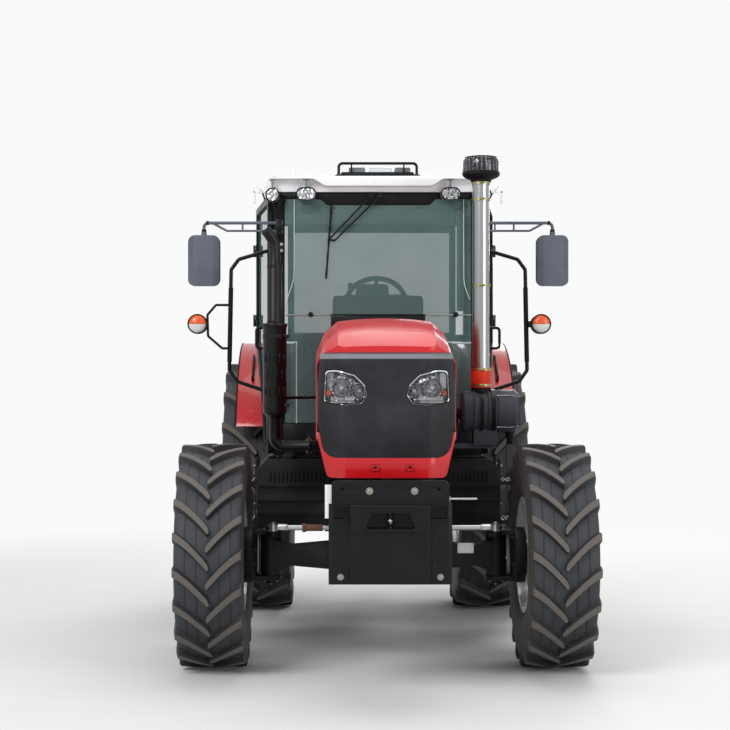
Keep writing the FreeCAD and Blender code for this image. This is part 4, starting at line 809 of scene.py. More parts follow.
# Merged and bevelled copy of a CAD node, shown in its place
def softened(node, finishName, width=0.003, steps=2, reshape=None, angle=32, smooth=32):
    source = nodes[node]
    item = bpy.data.objects.new(node + "_body", source.data.copy())
    bpy.context.scene.collection.objects.link(item)
    openMesh(item)
    bpy.ops.mesh.customdata_custom_splitnormals_clear()
    bpy.ops.mesh.remove_doubles(threshold=0.00002)
    bpy.ops.mesh.dissolve_limited(angle_limit=math.radians(0.4))
    if reshape:
        reshape(item)
    closeMesh()
    roundEdges(item, width, steps, angle)
    return place(item, node + "_body", finishName, nodeSlot[node], nodeBody[node], smooth, (node,))


print("helpers ready")


# Tyres: spun carcass with thin ribs, one pair of curved lugs spun in copies round it

tyre = {"lugs": 20, "sweep": 0.88, "curve": 1.35, "topHalf": 0.023, "baseHalf": 0.037, "edge": 0.0035}


def carcassProfile(wheel):
    half, seat, crown = wheel["half"], wheel["seat"], wheel["radius"] - wheel["lug"]
    bead = wheel["rimHalf"] - 0.0093
    height = wheel["radius"] - seat
    side = [(bead, seat + 0.001), (bead, seat + 0.026), (bead + 0.004, seat + 0.032),
        (bead + 0.01, seat + 0.034), (bead + 0.012, seat + 0.042), (bead + 0.009, seat + 0.048),
        (half * 0.93, seat + height * 0.22), (half * 0.965, seat + height * 0.33),
        (half * 0.99, seat + height * 0.45), (half * 0.995, seat + height * 0.47),
        (half * 0.993, seat + height * 0.49), (half * 0.997, seat + height * 0.56),
        (half * 0.985, seat + height * 0.68), (half * 0.975, crown - 0.045), (half * 0.95, crown - 0.02),
        (half * 0.9, crown - 0.008), (half * 0.8, crown - 0.003), (half * 0.655, crown - 0.0005),
        (half * 0.65, crown + 0.004), (half * 0.635, crown + 0.004), (half * 0.63, crown),
        (half * 0.335, crown), (half * 0.33, crown + 0.004), (half * 0.315, crown + 0.004),
        (half * 0.31, crown), (half * 0.012, crown), (half * 0.01, crown + 0.003)]
    return side + [(-x, r) for x, r in reversed(side)]


def lugSections(wheel, side, turn):
    half, radius = wheel["half"], wheel["radius"]
    crown = radius - wheel["lug"]
    # top across, top radius, foot across, foot radius, sweep share, widening
    stations = []
    for t in (-0.045, 0, 0.08, 0.18, 0.3, 0.42, 0.54, 0.66, 0.77, 0.86, 0.93):
        share = 1 - (1 - max(t, 0)) ** tyre["curve"] + min(t, 0)
        drop = 0.006 * t * t
        lead = 0.45 if t < 0 else 1.0
        stations.append((t * half, radius - drop, t * half, crown - 0.008, share, lead))
    stations += [(half * 0.965, radius - 0.009, half * 0.93, crown - 0.022, 0.985, 1.02),
        (half * 0.99, radius - 0.022, half * 0.945, crown - 0.034, 0.995, 1.06),
        (half * 0.999, crown - 0.012, half * 0.95, crown - 0.052, 1.0, 1.12),
        (half * 0.995, crown - 0.05, half * 0.96, crown - 0.075, 1.0, 1.2),
        (half * 0.985, crown - 0.078, half * 0.965, crown - 0.088, 1.0, 1.26)]
    sections = []
    for topX, topR, footX, footR, share, widen in stations:
        angle = turn - half * tyre["sweep"] / radius * share
        upper, lower = tyre["topHalf"] * widen, tyre["baseHalf"] * widen
        rows = [(-lower, 0), (-upper - 0.001, 0.86), (-upper + tyre["edge"], 1.0),
            (upper - tyre["edge"], 1.0), (upper + 0.001, 0.86), (lower, 0)]
        section = []
        for offset, rise in rows:
            x = footX + (topX - footX) * rise
            reach = footR + (topR - footR) * rise
            spin = angle + offset / radius
            section.append((wheel["x"] + side * x, wheel["y"] + reach * math.cos(spin),
                wheel["z"] + reach * math.sin(spin)))
        sections.append(section)
    return sections


def makeTyre(wheel):
    middle = (wheel["x"], wheel["y"], wheel["z"])
    carcass = lathe(carcassProfile(wheel), middle, "X", 120)
    pitch = 2 * math.pi / tyre["lugs"]
    foremost = math.radians(270)
    bars = joined([loft(lugSections(wheel, 1, foremost)), loft(lugSections(wheel, -1, foremost + pitch / 2))])
    copiesRound(bars, tyre["lugs"], middle, (1, 0, 0))
    return joined([carcass, bars])


for wheelName, wheel in wheelPlaces.items():
    placeBoth(makeTyre(wheel), "tyre_" + wheelName + "_tread", wheelName + "Rubber", "tyre_rubber",
        "wheel_" + wheelName, 40, (("tyre_" + wheelName + "_left",), ("tyre_" + wheelName + "_right",)))
print("tyres ready")


# Edges of the pressed, cast and moulded bodies are rounded on merged copies

softBodies = [
    # node, finish, edge radius, rounding steps
    ("hood_shell", "redPaint", 0.0035, 3),
    ("side_grilles", "deepPlastic", 0.0008, 1),
    ("front_weight", "castPaint", 0.008, 3),
    ("front_support", "chassisPaint", 0.004, 2),
    ("front_axle", "chassisPaint", 0.005, 2),
    ("knuckle_left", "chassisPaint", 0.004, 2),
    ("knuckle_right", "chassisPaint", 0.004, 2),
    ("radiator", "deepPlastic", 0.003, 2),
    ("engine_block", "grayPaint", 0.008, 3),
    ("transmission", "grayPaint", 0.008, 3),
    ("rear_axle", "grayPaint", 0.006, 2),
    ("cab_frame", "blackPaint", 0.004, 2),
    ("cab_floor", "blackPaint", 0.003, 2),
    ("roof", "roofWhite", 0.006, 3),
    ("dashboard", "blackPlastic", 0.006, 3),
    ("seat_base", "blackPlastic", 0.005, 2),
    ("fender_left", "redPaint", 0.003, 2),
    ("fender_right", "redPaint", 0.003, 2),
    ("fuel_tank", "blackPlastic", 0.005, 3),
    ("battery_box", "blackPlastic", 0.005, 3),
    ("steps", "chassisPaint", 0.0025, 2),
    ("mirror_left", "shellPlastic", 0.004, 3),
    ("mirror_right", "shellPlastic", 0.004, 3),
    ("door_left", "blackPaint", 0.004, 2),
    ("door_right", "blackPaint", 0.004, 2),
    ("rear_window", "blackPaint", 0.004, 2),
    ("air_filter", "filterPlastic", 0.0025, 2),
    ("exhaust", "stackPaint", 0.0025, 2),
    ("signal_lamps", "blackPlastic", 0.003, 2),
    ("work_lamps", "grayPlastic", 0.003, 2),
    ("drawbar", "chassisPaint", 0.004, 2),
    ("lower_links", "chassisPaint", 0.005, 2),
    ("lift_arms", "chassisPaint", 0.004, 2),
    ("top_link", "rodSteel", 0.002, 2),
]
for node, finishName, width, steps in softBodies:
    softened(node, finishName, width, steps)


# The nose's skin along Y: flat in the middle, an arc, then swept back
def noseDepth(x):
    x = abs(x)
    if x < 0.2138:
        return -1.78
    if x < 0.2611:
        return -1.7 - math.sqrt(0.08 ** 2 - (x - 0.2138) ** 2)
    return -1.7645 + (x - 0.2611) * 0.7353


# The mask's upper edge leans back
def leanMask(item):
    bpy.ops.mesh.select_all(action="SELECT")
    bpy.ops.mesh.bisect(plane_co=(0, 0, 1.741), plane_no=(0, 0, 1))
    shape = bmesh.from_edit_mesh(item.data)
    for vertex in shape.verts:
        if vertex.co.z > 1.758 and vertex.co.y < noseDepth(vertex.co.x) + 0.004:
            vertex.co.y += 0.012
    bmesh.update_edit_mesh(item.data)


softened("grille_mask", "maskPlastic", 0.005, 3, leanMask)
print("softened bodies ready")


# Nose: headlamps with their reflectors, bowls and bright rims, seals, tabs and the hood's back edge

headlamp = {
    # across, up, corner radius of the opening
    "outline": [(0.33, 1.678, 0.02), (0.27, 1.682, 0.06), (0.17, 1.655, 0.04), (0.115, 1.6, 0.03),
                (0.1, 1.545, 0.025), (0.135, 1.495, 0.015), (0.215, 1.486, 0.06), (0.338, 1.508, 0.02)],
    "middle": (0.219, 1.585),
    # shrink of the outline, depth behind the lens
    "bucket": [(0.985, 0), (0.9, 0.022), (0.8, 0.05), (0.66, 0.06)],
    # across, up, radius
    "bowls": [(0.146, 1.568, 0.04), (0.243, 1.583, 0.049)],
    "lensBack": 0.022,
}


# The lamp's outline in short steps that follow the curved nose
def lampLoop(shrink, depth):
    across, up = headlamp["middle"]
    corners = softCorners(headlamp["outline"], 4)
    loop = []
    for number, (x, z) in enumerate(corners):
        nextX, nextZ = corners[(number + 1) % len(corners)]
        pieces = max(1, round(math.dist((x, z), (nextX, nextZ)) / 0.012))
        for piece in range(pieces):
            share = piece / pieces
            flatX = across + (x + (nextX - x) * share - across) * shrink
            loop.append((flatX, noseDepth(flatX) + headlamp["lensBack"] + depth,
                up + (z + (nextZ - z) * share - up) * shrink))
    return loop


def makeHeadlamps():
    bucket = loft([lampLoop(shrink, depth) for shrink, depth in headlamp["bucket"]])
    openMesh(bucket, "FACE", "DESELECT")
    shape = bmesh.from_edit_mesh(bucket.data)
    largest = sorted(shape.faces, key=lambda face: len(face.verts))[-2:]
    front = min(largest, key=lambda face: face.calc_center_median().y)
    front.select_set(True)
    bmesh.update_edit_mesh(bucket.data)
    bpy.ops.mesh.delete(type="FACE")
    bpy.ops.mesh.select_all(action="SELECT")
    bpy.ops.mesh.flip_normals()
    closeMesh()
    useModifier(bucket, "SOLIDIFY", thickness=0.002, offset=-1.0)
    placeBoth(bucket, "headlamp_reflector", "reflector", bodies="hood", smooth=20)
    rims = []
    bulbs = []
    for x, z, radius in headlamp["bowls"]:
        y = noseDepth(x) + headlamp["lensBack"] + 0.006
        cup = [(0.056, 0), (0.05, radius * 0.6), (0.02, radius), (0, radius + 0.005),
            (-0.003, radius + 0.003), (-0.001, radius), (0.014, radius * 0.93), (0.03, radius * 0.72),
            (0.042, radius * 0.42), (0.046, radius * 0.2), (0.046, 0)]
        rims.append(lathe(cup, (x, y, z), "Y", 40))
        bulbs.append(lathe([(-0.004, 0), (-0.002, 0.008), (0.006, 0.011), (0.044, 0.011), (0.044, 0)],
            (x, y, z), "Y", 20))
    placeBoth(rims, "headlamp_bowls", "reflector", bodies="hood", smooth=50)
    placeBoth(bulbs, "headlamp_bulbs", "whiteLens", bodies="hood", smooth=50)
    trim = [(x, noseDepth(x) + 0.004, z) for x, y, z in lampLoop(1.0, 0)]
    placeBoth(pipe(trim, 0.0042, True, 0.001, 3), "headlamp_seal", "deepPlastic", bodies="hood")
    rim = [(x, noseDepth(x) + 0.0075, z) for x, y, z in lampLoop(0.968, 0)]
    placeBoth(pipe(rim, 0.0038, True, 0.001, 3), "headlamp_rim", "chrome", bodies="hood")
    edge = lampLoop(0.94, 0)
    brow = [(x, noseDepth(x) + 0.0085, z) for x, y, z in edge[:len(edge) // 2] if z > 1.59]
    placeBoth(pipe(brow, 0.0068, False, 0.001, 3), "headlamp_brow", "chrome", bodies="hood")
    fins = []
    for number in range(6):
        x = 0.286 + number * 0.006
        fins.append(block((x, noseDepth(x) + 0.034, 1.6 - number * 0.004),
            (x + 0.0025, noseDepth(x) + 0.07, 1.664), 0))
    for number in range(5):
        z = 1.506 + number * 0.007
        fins.append(block((0.176, noseDepth(0.2) + 0.036, z), (0.3, noseDepth(0.2) + 0.06, z + 0.002), 0))
    placeBoth(fins, "headlamp_fins", "chrome", bodies="hood")
    amber = lathe([(-0.006, 0), (-0.004, 0.012), (0.004, 0.02), (0.012, 0.021), (0.012, 0)],
        (0.312, noseDepth(0.312) + 0.034, 1.556), "Y", 28)
    placeBoth(amber, "headlamp_side_bulb", "amberLens", "lamp_glass", "hood")


makeHeadlamps()
softened("headlamps", "lampGlass", 0.003, 2)

noseTrim = {"tabs": (-0.063, 0.123), "tabZ": 1.163}


def makeNoseTrim():
    tabs = []
    slots = []
    for x in noseTrim["tabs"]:
        z = noseTrim["tabZ"]
        tabs.append(block((x - 0.021, -1.786, z - 0.019), (x + 0.021, -1.776, z + 0.019), 0.004, 3))
        for part in (-1, 1):
            tabs.append(block((x - 0.022, -1.79, z + part * 0.0165 - 0.0025),
                (x + 0.022, -1.784, z + part * 0.0165 + 0.0025), 0.001))
            tabs.append(block((x + part * 0.0195 - 0.0025, -1.79, z - 0.019),
                (x + part * 0.0195 + 0.0025, -1.784, z + 0.019), 0.001))
        # painted shade: dark blocks sit on the tabs where the slots' openings lie in shade
        slots.append(block((x - 0.009, -1.7885, z - 0.006), (x + 0.009, -1.785, z + 0.006), 0.0015))
    place(tabs, "lip_tabs", "redPaint", body="hood")
    place(slots, "lip_tab_slot_shade", "deepPlastic", body="hood")
    # rubber edge round the hood's back end
    half = [(0.383, 1.302), (0.383, 1.808), (0.338, 1.916), (0.266, 1.978), (0.135, 1.992), (0, 1.997)]
    whole = half + [(-x, z) for x, z in reversed(half[:-1])]
    edge = pipe([(x, -0.203, z) for x, z in whole], 0.0075, False, 0.02, 3)
    place(edge, "hood_edge_seal", "sealRubber", body="hood")
    # dark mesh behind the side grilles
    backing = plate([(-1.52, 1.398, 0.02), (-1.47, 1.688, 0.02), (-0.895, 1.688, 0.02),
        (-0.945, 1.398, 0.02)], "yz", 0.366, 0.369, 0)
    placeBoth(backing, "grille_mesh", "maskPlastic", bodies="hood")
    # latch and its pull under the mask, hinge straps at the back
    latch = joined([block((-0.045, -1.772, 1.108), (0.045, -1.745, 1.128), 0.004),
        rod((-0.03, -1.77, 1.1), (0.03, -1.77, 1.1), 0.006)])
    place(latch, "hood_latch", "blackPlastic", body="hood")
    straps = [block((0.186, -0.33, 1.962), (0.214, -0.215, 1.97), 0.002)]
    placeBoth(straps, "hinge_strap", "blackPaint", bodies="hood")


makeNoseTrim()
print("nose ready")


# Front ballast and its carrier: bolts, pin, bare plates, marker rod and lifting eyes

ballast = {
    "plateBolts": [(-0.105, 1.07), (0.12, 1.07), (-0.105, 1.035), (0.12, 1.035)],
    "whitePlate": ((-0.328, -2.236, 0.931), (-0.286, -2.232, 1.1)),
    "axlePlate": ((0.418, -1.2395, 0.647), (0.509, -1.234, 0.704)),
}


def makeBallast():
    boltRow([(x, -2.262, z) for x, z in ballast["plateBolts"][:2]], (0, -1, 0), "carrier_bolts", 0.02)
    boltRow([(x, -2.258, 0.64) for x in (-0.25, 0.25)], (0, -1, 0), "ballast_bolts", 0.018)
    boltRow([(x, y, 1.03) for x in (-0.15, 0.15) for y in (-1.76, -1.6)], (0, 0, 1), "bolster_bolts", 0.018)
    boltRow([(0.2305, y, z) for y in (-1.6, -1.48, -1.05) for z in (0.8, 0.95)], (1, 0, 0),
        "bolster_side_bolts_left", 0.016)
    boltRow([(-0.2305, y, z) for y in (-1.6, -1.48, -1.05) for z in (0.8, 0.95)], (-1, 0, 0),
        "bolster_side_bolts_right", 0.016)
    place(block(*ballast["whitePlate"], 0.001), "blank_plate", "roofWhite")
    place(block(*ballast["axlePlate"], 0.001), "blank_axle_plate", "roofWhite")
    rivets = [rod((x, -1.2395, z), (x, -1.2415, z), 0.003, 12, None, 0.0005) for x in (0.424, 0.503)
        for z in (0.653, 0.698)]
    place(rivets, "axle_plate_rivets", "boltSteel")
    # pin through the pocket with its ring pull and keeper
    pin = lathe([(0, 0), (0, 0.0145), (0.004, 0.016), (0.01, 0.016), (0.01, 0)], (0, -2.218, 0.912), "Z", 28)
    grip = ring((0, -2.236, 0.915), (1, 0, 0.2), 0.02, 0.0035)
    place([pin, grip], "ballast_pin_head", "rodSteel")
    # thin gauge rod on the left of the carrier
    probe = joined([rod((0.29, -2.248, 1.03), (0.434, -2.248, 1.03), 0.005, 14),
        block((0.291, -2.254, 1.018), (0.299, -2.24, 1.042), 0.001)])
    place(probe, "marker_rod", "rodSteel")
    lifting = joined([ring((x, -1.9, 1.012), (1, 0, 0), 0.024, 0.007) for x in (-0.2, 0.2)])
    place(lifting, "lifting_eyes", "castPaint")


makeBallast()
print("ballast ready")


# Front axle: joints, caps, grease nipples, hub bolts and the steering lines

axleTrim = {"kingpin": (0.64, -1.18), "rodZ": 0.7995, "steerY": -1.33}


def makeAxleTrim():
    x, y = axleTrim["kingpin"]
    # screws round each kingpin cap and a nipple on it
    screws = []
    for up, face in ((1, 0.7915), (-1, 0.4735)):
        for turn in range(4):
            angle = math.radians(45 + 90 * turn)
            spot = (x + 0.05 * math.cos(angle), y + 0.05 * math.sin(angle), face - up * 0.016)
            screws.append(bolt(spot, (0, 0, up), 0.011))
        screws.append(rod((x, y, face - up * 0.001), (x, y, face + up * 0.014), 0.006, 8, 0.003, 0.0005))
    placeBoth(screws, "kingpin_screws", "boltSteel", bodies="knuckle")
    ringBolts = []
    for turn in range(10):
        angle = math.radians(36 * turn + 18)
        spot = (0.7315, y + 0.128 * math.cos(angle), 0.6325 + 0.128 * math.sin(angle))
        ringBolts.append(bolt(spot, (-1, 0, 0), 0.013))
    placeBoth(ringBolts, "hub_bolts", "boltSteel", bodies="knuckle")
    # nuts on the steering rod's eyes, clamp sleeves beside them
    nuts = []
    for side in (1, -1):
        spot = (side * 0.62, axleTrim["steerY"], axleTrim["rodZ"] + 0.018)
        nuts.append(bolt(spot, (0, 0, 1), 0.022))
        nuts.append(rod((side * 0.6, spot[1], axleTrim["rodZ"]), (side * 0.54, spot[1], axleTrim["rodZ"]),
            0.021, 6, None, 0.002))
    place(nuts, "steering_nuts", "rodSteel", body="steering_rod")
    worn = joined([rod((-0.45, axleTrim["steerY"], axleTrim["rodZ"]),
        (-0.345, axleTrim["steerY"], axleTrim["rodZ"]), 0.0195, 24, None, 0.002),
        rod((-0.46, axleTrim["steerY"], axleTrim["rodZ"]), (-0.436, axleTrim["steerY"], axleTrim["rodZ"]),
        0.025, 6, None, 0.002)])
    place(worn, "steering_sleeve", "rustyIron", body="steering_rod")
    wiper = [lathe([(0, 0.0155), (0, 0.03), (0.012, 0.026), (0.012, 0.0155), (0, 0.0155)],
        (0.18, axleTrim["steerY"], axleTrim["rodZ"]), "X", 32)]
    placeBoth(wiper, "cylinder_gland", "rodSteel")
    lines = []
    for side, run in ((1, 0), (-1, 0.018)):
        start = (side * 0.15, axleTrim["steerY"], axleTrim["rodZ"] + 0.034)
        lines.append(pipe([start, (side * 0.15, -1.33, 0.87 + run), (side * 0.245, -1.3, 0.88 + run),
            (side * 0.246, -1.14 + run, 0.9 + run), (side * 0.246, -1.14 + run, 1.06)], 0.0075, False, 0.025,
            3))
        lines.append(bolt((side * 0.15, axleTrim["steerY"], axleTrim["rodZ"] + 0.034), (0, 0, 1), 0.02))
    place(lines, "steering_lines", "sealRubber")
    cover = [bolt((0, -1.438, 0.6325), (0, -1, 0), 0.03)]
    cover += [bolt((0.04 * math.cos(a), -1.436, 0.6325 + 0.04 * math.sin(a)), (0, -1, 0), 0.01)
        for a in (0.5, 1.6, 2.6, 3.7, 4.7, 5.8)]
    place(cover, "trunnion_bolts", "boltSteel")
    drain = [bolt((0, -1.18, 0.4985), (0, 0, -1), 0.022), bolt((0.06, -1.309, 0.6), (0, -1, 0), 0.018)]
    place(drain, "axle_plugs", "boltSteel")


makeAxleTrim()
print("front axle ready")


# Wheels: nuts, hub cover screws and valve stems, the set modelled once a side

wheelTrim = {
    # disc face, bolt circle, bolt size, cap face, cap circle, valve across, valve radius
    "front": (0.8723, 0.097, 0.02, 0.9203, 0.046, 1.02, 0.258),
    "rear": (0.804, 0.107, 0.024, 0.852, 0.05, 0.905, 0.436),
}


def makeWheelTrim(name):
    wheel = wheelPlaces[name]
    disc, circle, size, cap, capCircle, valveX, valveR = wheelTrim[name]
    pieces = []
    for turn in range(10):
        angle = 2 * math.pi * (turn + 0.5) / 10
        spot = (disc, wheel["y"] + circle * math.cos(angle), wheel["z"] + circle * math.sin(angle))
        pieces.append(bolt(spot, (1, 0, 0), size))
    for turn in range(6):
        angle = 2 * math.pi * turn / 6
        spot = (cap, wheel["y"] + capCircle * math.cos(angle), wheel["z"] + capCircle * math.sin(angle))
        pieces.append(bolt(spot, (1, 0, 0), 0.01))
    pieces.append(bolt((cap, wheel["y"], wheel["z"]), (1, 0, 0), 0.018))
    placeBoth(pieces, "nuts_" + name, "boltSteel", bodies="wheel_" + name)
    stem = joined([rod((valveX - 0.02, wheel["y"], wheel["z"] - valveR),
        (valveX + 0.022, wheel["y"], wheel["z"] - valveR - 0.006), 0.0045, 14),
        rod((valveX + 0.014, wheel["y"], wheel["z"] - valveR - 0.005),
        (valveX + 0.03, wheel["y"], wheel["z"] - valveR - 0.007), 0.0062, 12)])
    placeBoth(stem, "valve_" + name, "boltSteel", bodies="wheel_" + name)
    # rims shown as merged copies with rounded edges
    for side in ("left", "right"):
        softened("rim_" + name + "_" + side, "rimSilver", 0.003, 2)


for wheelName in wheelPlaces:
    makeWheelTrim(wheelName)
print("wheels ready")


# Exhaust: band clamps on the muffler, louvres, screws of the flange, top and foot rings and a brace

exhaust = {"x": -0.64, "y": -0.63, "bands": (1.462, 1.88), "flangeX": -0.44, "feedZ": 1.228}


def band(middle, axis, radius, width, thick=0.0022):
    return lathe([(0, radius - 0.001), (0, radius + thick), (width, radius + thick), (width, radius - 0.001),
        (0, radius - 0.001)], middle, axis, 56)


# Worm clamp: a band with its screw block on the front
def clamp(middle, radius, width=0.014):
    x, y, z = middle
    screw = rod((x - 0.016, y - radius - 0.006, z + width / 2),
        (x + 0.018, y - radius - 0.006, z + width / 2), 0.0052, 12, None, 0.001)
    return [band(middle, "Z", radius, width, 0.0014), screw, block((x - 0.01, y - radius - 0.009, z + 0.001),
        (x + 0.01, y - radius + 0.002, z + width - 0.001), 0.0015)]


def makeExhaustTrim():
    x, y = exhaust["x"], exhaust["y"]
    bands = []
    for z in exhaust["bands"]:
        bands.append(band((x, y, z), "Z", 0.0718, 0.024))
        bands.append(block((x + 0.06, y - 0.052, z + 0.002), (x + 0.09, y - 0.044, z + 0.022), 0.002))
        bands.append(bolt((x + 0.078, y - 0.052, z + 0.012), (0, -1, 0), 0.012))
    bands.append(band((x, y, 2.306), "Z", 0.0452, 0.018))
    bands.append(band((x, y, 1.97), "Z", 0.0455, 0.016))
    place(bands, "exhaust_bands", "stackPaint")
    slots = []
    for row, z in enumerate((1.56, 1.66, 1.76)):
        for column in range(5):
            angle = math.radians(-90 + (column - 2) * 26 + (13 if row % 2 else 0))
            spot = (x + 0.0722 * math.cos(angle), y + 0.0722 * math.sin(angle))
            slots.append(rod((spot[0], spot[1], z - 0.026), (spot[0], spot[1], z + 0.026), 0.0042, 10, None,
                0.0015))
    place(slots, "muffler_louvres", "stackPaint")
    flange = []
    for turn in range(4):
        angle = math.radians(45 + 90 * turn)
        spot = (exhaust["flangeX"] - 0.0002, y + 0.05 * math.cos(angle),
            exhaust["feedZ"] + 0.05 * math.sin(angle))
        flange.append(bolt(spot, (-1, 0, 0), 0.014))
        flange.append(bolt((spot[0] + 0.0165, spot[1], spot[2]), (1, 0, 0), 0.014))
    place(flange, "exhaust_flange_bolts", "rustyIron")
    brace = [rod((x + 0.065, y + 0.02, 1.52), (-0.3005, -0.15, 1.52), 0.009, 16),
        block((-0.345, -0.16, 1.495), (-0.3, -0.1495, 1.545), 0.002)]
    place(brace, "exhaust_brace", "blackPaint")


makeExhaustTrim()

intake = {"x": 0.61, "y": -0.63, "hose": (1.582, 1.7), "clamps": (1.59, 1.684),
    "rings": (2.191, 2.712, 2.809)}


def makeIntakeTrim():
    x, y = intake["x"], intake["y"]
    low, high = intake["hose"]
    tall = high - low
    hose = lathe([(0, 0.0565), (0, 0.06), (0.004, 0.061), (tall - 0.004, 0.061), (tall, 0.06), (tall, 0.0505),
        (0, 0.0505)], (x, y, low), "Z", 56)
    place(hose, "intake_hose", "orangeHose")
    elbow = lathe([(0, 0.056), (0, 0.0592), (0.02, 0.0592), (0.028, 0.0606), (0.036, 0.0592), (0.052, 0.0592),
        (0.06, 0.0606), (0.068, 0.0592), (0.136, 0.0592), (0.136, 0.056), (0, 0.056)], (x, y, 1.446), "Z", 56)
    place(elbow, "intake_elbow", "sealRubber")
    clamps = []
    for z in intake["clamps"]:
        clamps += clamp((x, y, z), 0.061)
    for z in intake["rings"]:
        clamps += clamp((x, y, z + 0.002), 0.0552)
    place(clamps, "intake_clamps", "oliveSteel")
    seam = rod((x - 0.049, y + 0.012, 1.705), (x - 0.049, y + 0.012, 2.812), 0.0022, 8, None, 0)
    place(seam, "intake_seam", "stackSteel")
    stay = [block((x - 0.03, y + 0.048, 2.15), (x + 0.03, y + 0.056, 2.182), 0.002),
        rod((x, y + 0.05, 2.166), (x + 0.03, -0.152, 2.166), 0.008, 14)]
    place(stay, "intake_stay", "blackPaint")


makeIntakeTrim()

cleaner = {"middle": (0.61, -0.63, 2.8403), "vanes": 20}


# Pre-cleaner: funnel, vaned core, striped clear bowl and a cap with its knob
def makePreCleaner():
    middle = cleaner["middle"]
    x, y, z = middle
    funnel = lathe([(-0.014, 0.052), (-0.014, 0.06), (0, 0.064), (0.006, 0.08), (0.014, 0.098),
        (0.022, 0.1085), (0.028, 0.1135), (0.044, 0.1135), (0.047, 0.111), (0.047, 0.096), (0.02, 0.09),
        (0.004, 0.052), (-0.014, 0.052)], middle, "Z", 72)
    place(funnel, "precleaner_funnel", "deepPlastic")
    bowl = lathe([(0.034, 0), (0.034, 0.108), (0.046, 0.1102), (0.108, 0.111), (0.121, 0.1075), (0.13, 0.098),
        (0.134, 0.08), (0.134, 0)], middle, "Z", 72)
    place(bowl, "precleaner_bowl", "bowlClear", stands=("pre_cleaner",))
    core = lathe([(0.036, 0), (0.036, 0.06), (0.06, 0.05), (0.112, 0.05), (0.124, 0.074), (0.128, 0.074),
        (0.128, 0)], middle, "Z", 48)
    place(core, "precleaner_core", "deepPlastic")
    vane = block((x + 0.054, y - 0.0012, z + 0.05), (x + 0.1, y + 0.0012, z + 0.118), 0)
    openMesh(vane)
    bpy.ops.transform.rotate(value=math.radians(24), orient_axis="X",
        center_override=(x + 0.077, y, z + 0.084))
    closeMesh()
    copiesRound(vane, cleaner["vanes"], middle, (0, 0, 1))
    place(vane, "precleaner_vanes", "grayPlastic")
    cap = lathe([(0.131, 0), (0.131, 0.096), (0.1345, 0.0985), (0.137, 0.094), (0.1385, 0.06), (0.1395, 0.02),
        (0.1395, 0)], middle, "Z", 72)
    knob = lathe([(0.136, 0), (0.136, 0.014), (0.1395, 0.016), (0.1402, 0.012), (0.1402, 0)], middle, "Z", 20)
    place([cap, knob], "precleaner_cap", "blackPlastic")


makePreCleaner()

airFilter = {"y": -0.63, "z": 1.44, "face": 0.824, "slots": 14}


# Air filter: slotted end cap, straps, clips, dust valve and the hose to the engine
def makeAirFilter():
    y, z, face = airFilter["y"], airFilter["z"], airFilter["face"]
    middle = (face, y, z)
    rim = lathe([(0, 0), (0, 0.112), (0.003, 0.115), (0.007, 0.113), (0.007, 0.098), (0.003, 0.095),
        (0.003, 0.04), (0.008, 0.036), (0.011, 0.03), (0.011, 0)], middle, "X", 64)
    rib = block((face + 0.002, y - 0.004, z + 0.042), (face + 0.007, y + 0.004, z + 0.095), 0.0015)
    copiesRound(rib, airFilter["slots"], middle, (1, 0, 0))
    place([rim, rib], "filter_cap", "filterPlastic")
    straps = [band((0.597, y, z), "X", 0.1305, 0.02, 0.0022), band((0.667, y, z), "X", 0.1305, 0.02, 0.0022)]
    for x in (0.607, 0.677):
        straps.append(rod((x, y - 0.136, z - 0.03), (x, y - 0.136, z + 0.02), 0.005, 12))
        straps.append(bolt((x, y - 0.136, z + 0.02), (0, 0, 1), 0.012))
    place(straps, "filter_straps", "blackPaint")
    clips = []
    for turn in range(4):
        angle = math.radians(45 + 90 * turn)
        reach = 0.1335
        spot = (y + reach * math.cos(angle), z + reach * math.sin(angle))
        near = (y + (reach - 0.01) * math.cos(angle), z + (reach - 0.01) * math.sin(angle))
        clips.append(pipe([(0.7, *spot), (0.742, *spot), (0.762, y + (reach + 0.004) * math.cos(angle),
            z + (reach + 0.004) * math.sin(angle)), (0.828, *near)], 0.0026, False, 0.006, 2))
        clips.append(rod((0.7, spot[0] - 0.008, spot[1]), (0.7, spot[0] + 0.008, spot[1]), 0.0045, 10))
    place(clips, "filter_clips", "rodSteel")
    valve = lathe([(0, 0), (0, 0.006), (-0.004, 0.016), (0.014, 0.021), (0.034, 0.024), (0.05, 0.026),
        (0.06, 0.026), (0.06, 0)], (0.785, y, 1.254), "Z", 32)
    lip = block((0.763, y - 0.004, 1.24), (0.807, y + 0.004, 1.262), 0.003)
    place([valve, lip], "dust_valve", "sealRubber")
    outlet = pipe([(0.5, -0.56, 1.425), (0.447, -0.56, 1.42), (0.44, -0.555, 1.25), (0.228, -0.55, 1.246)],
        0.032, False, 0.05, 5)
    place(outlet, "filter_outlet", "sealRubber")
    cuffs = []
    for x in (0.415, 0.25):
        cuffs.append(band((x, -0.5525, 1.2485), "X", 0.0322, 0.014, 0.0016))
    place(cuffs, "outlet_clamps", "rodSteel")


makeAirFilter()
print("stacks and air filter ready")


# Cab front: glass edging, quarter pane frames with knobs, wires, pillar lining, wiper rubber

cabFront = {"paneY": -0.1435, "knobs": (-0.428, 0.496)}


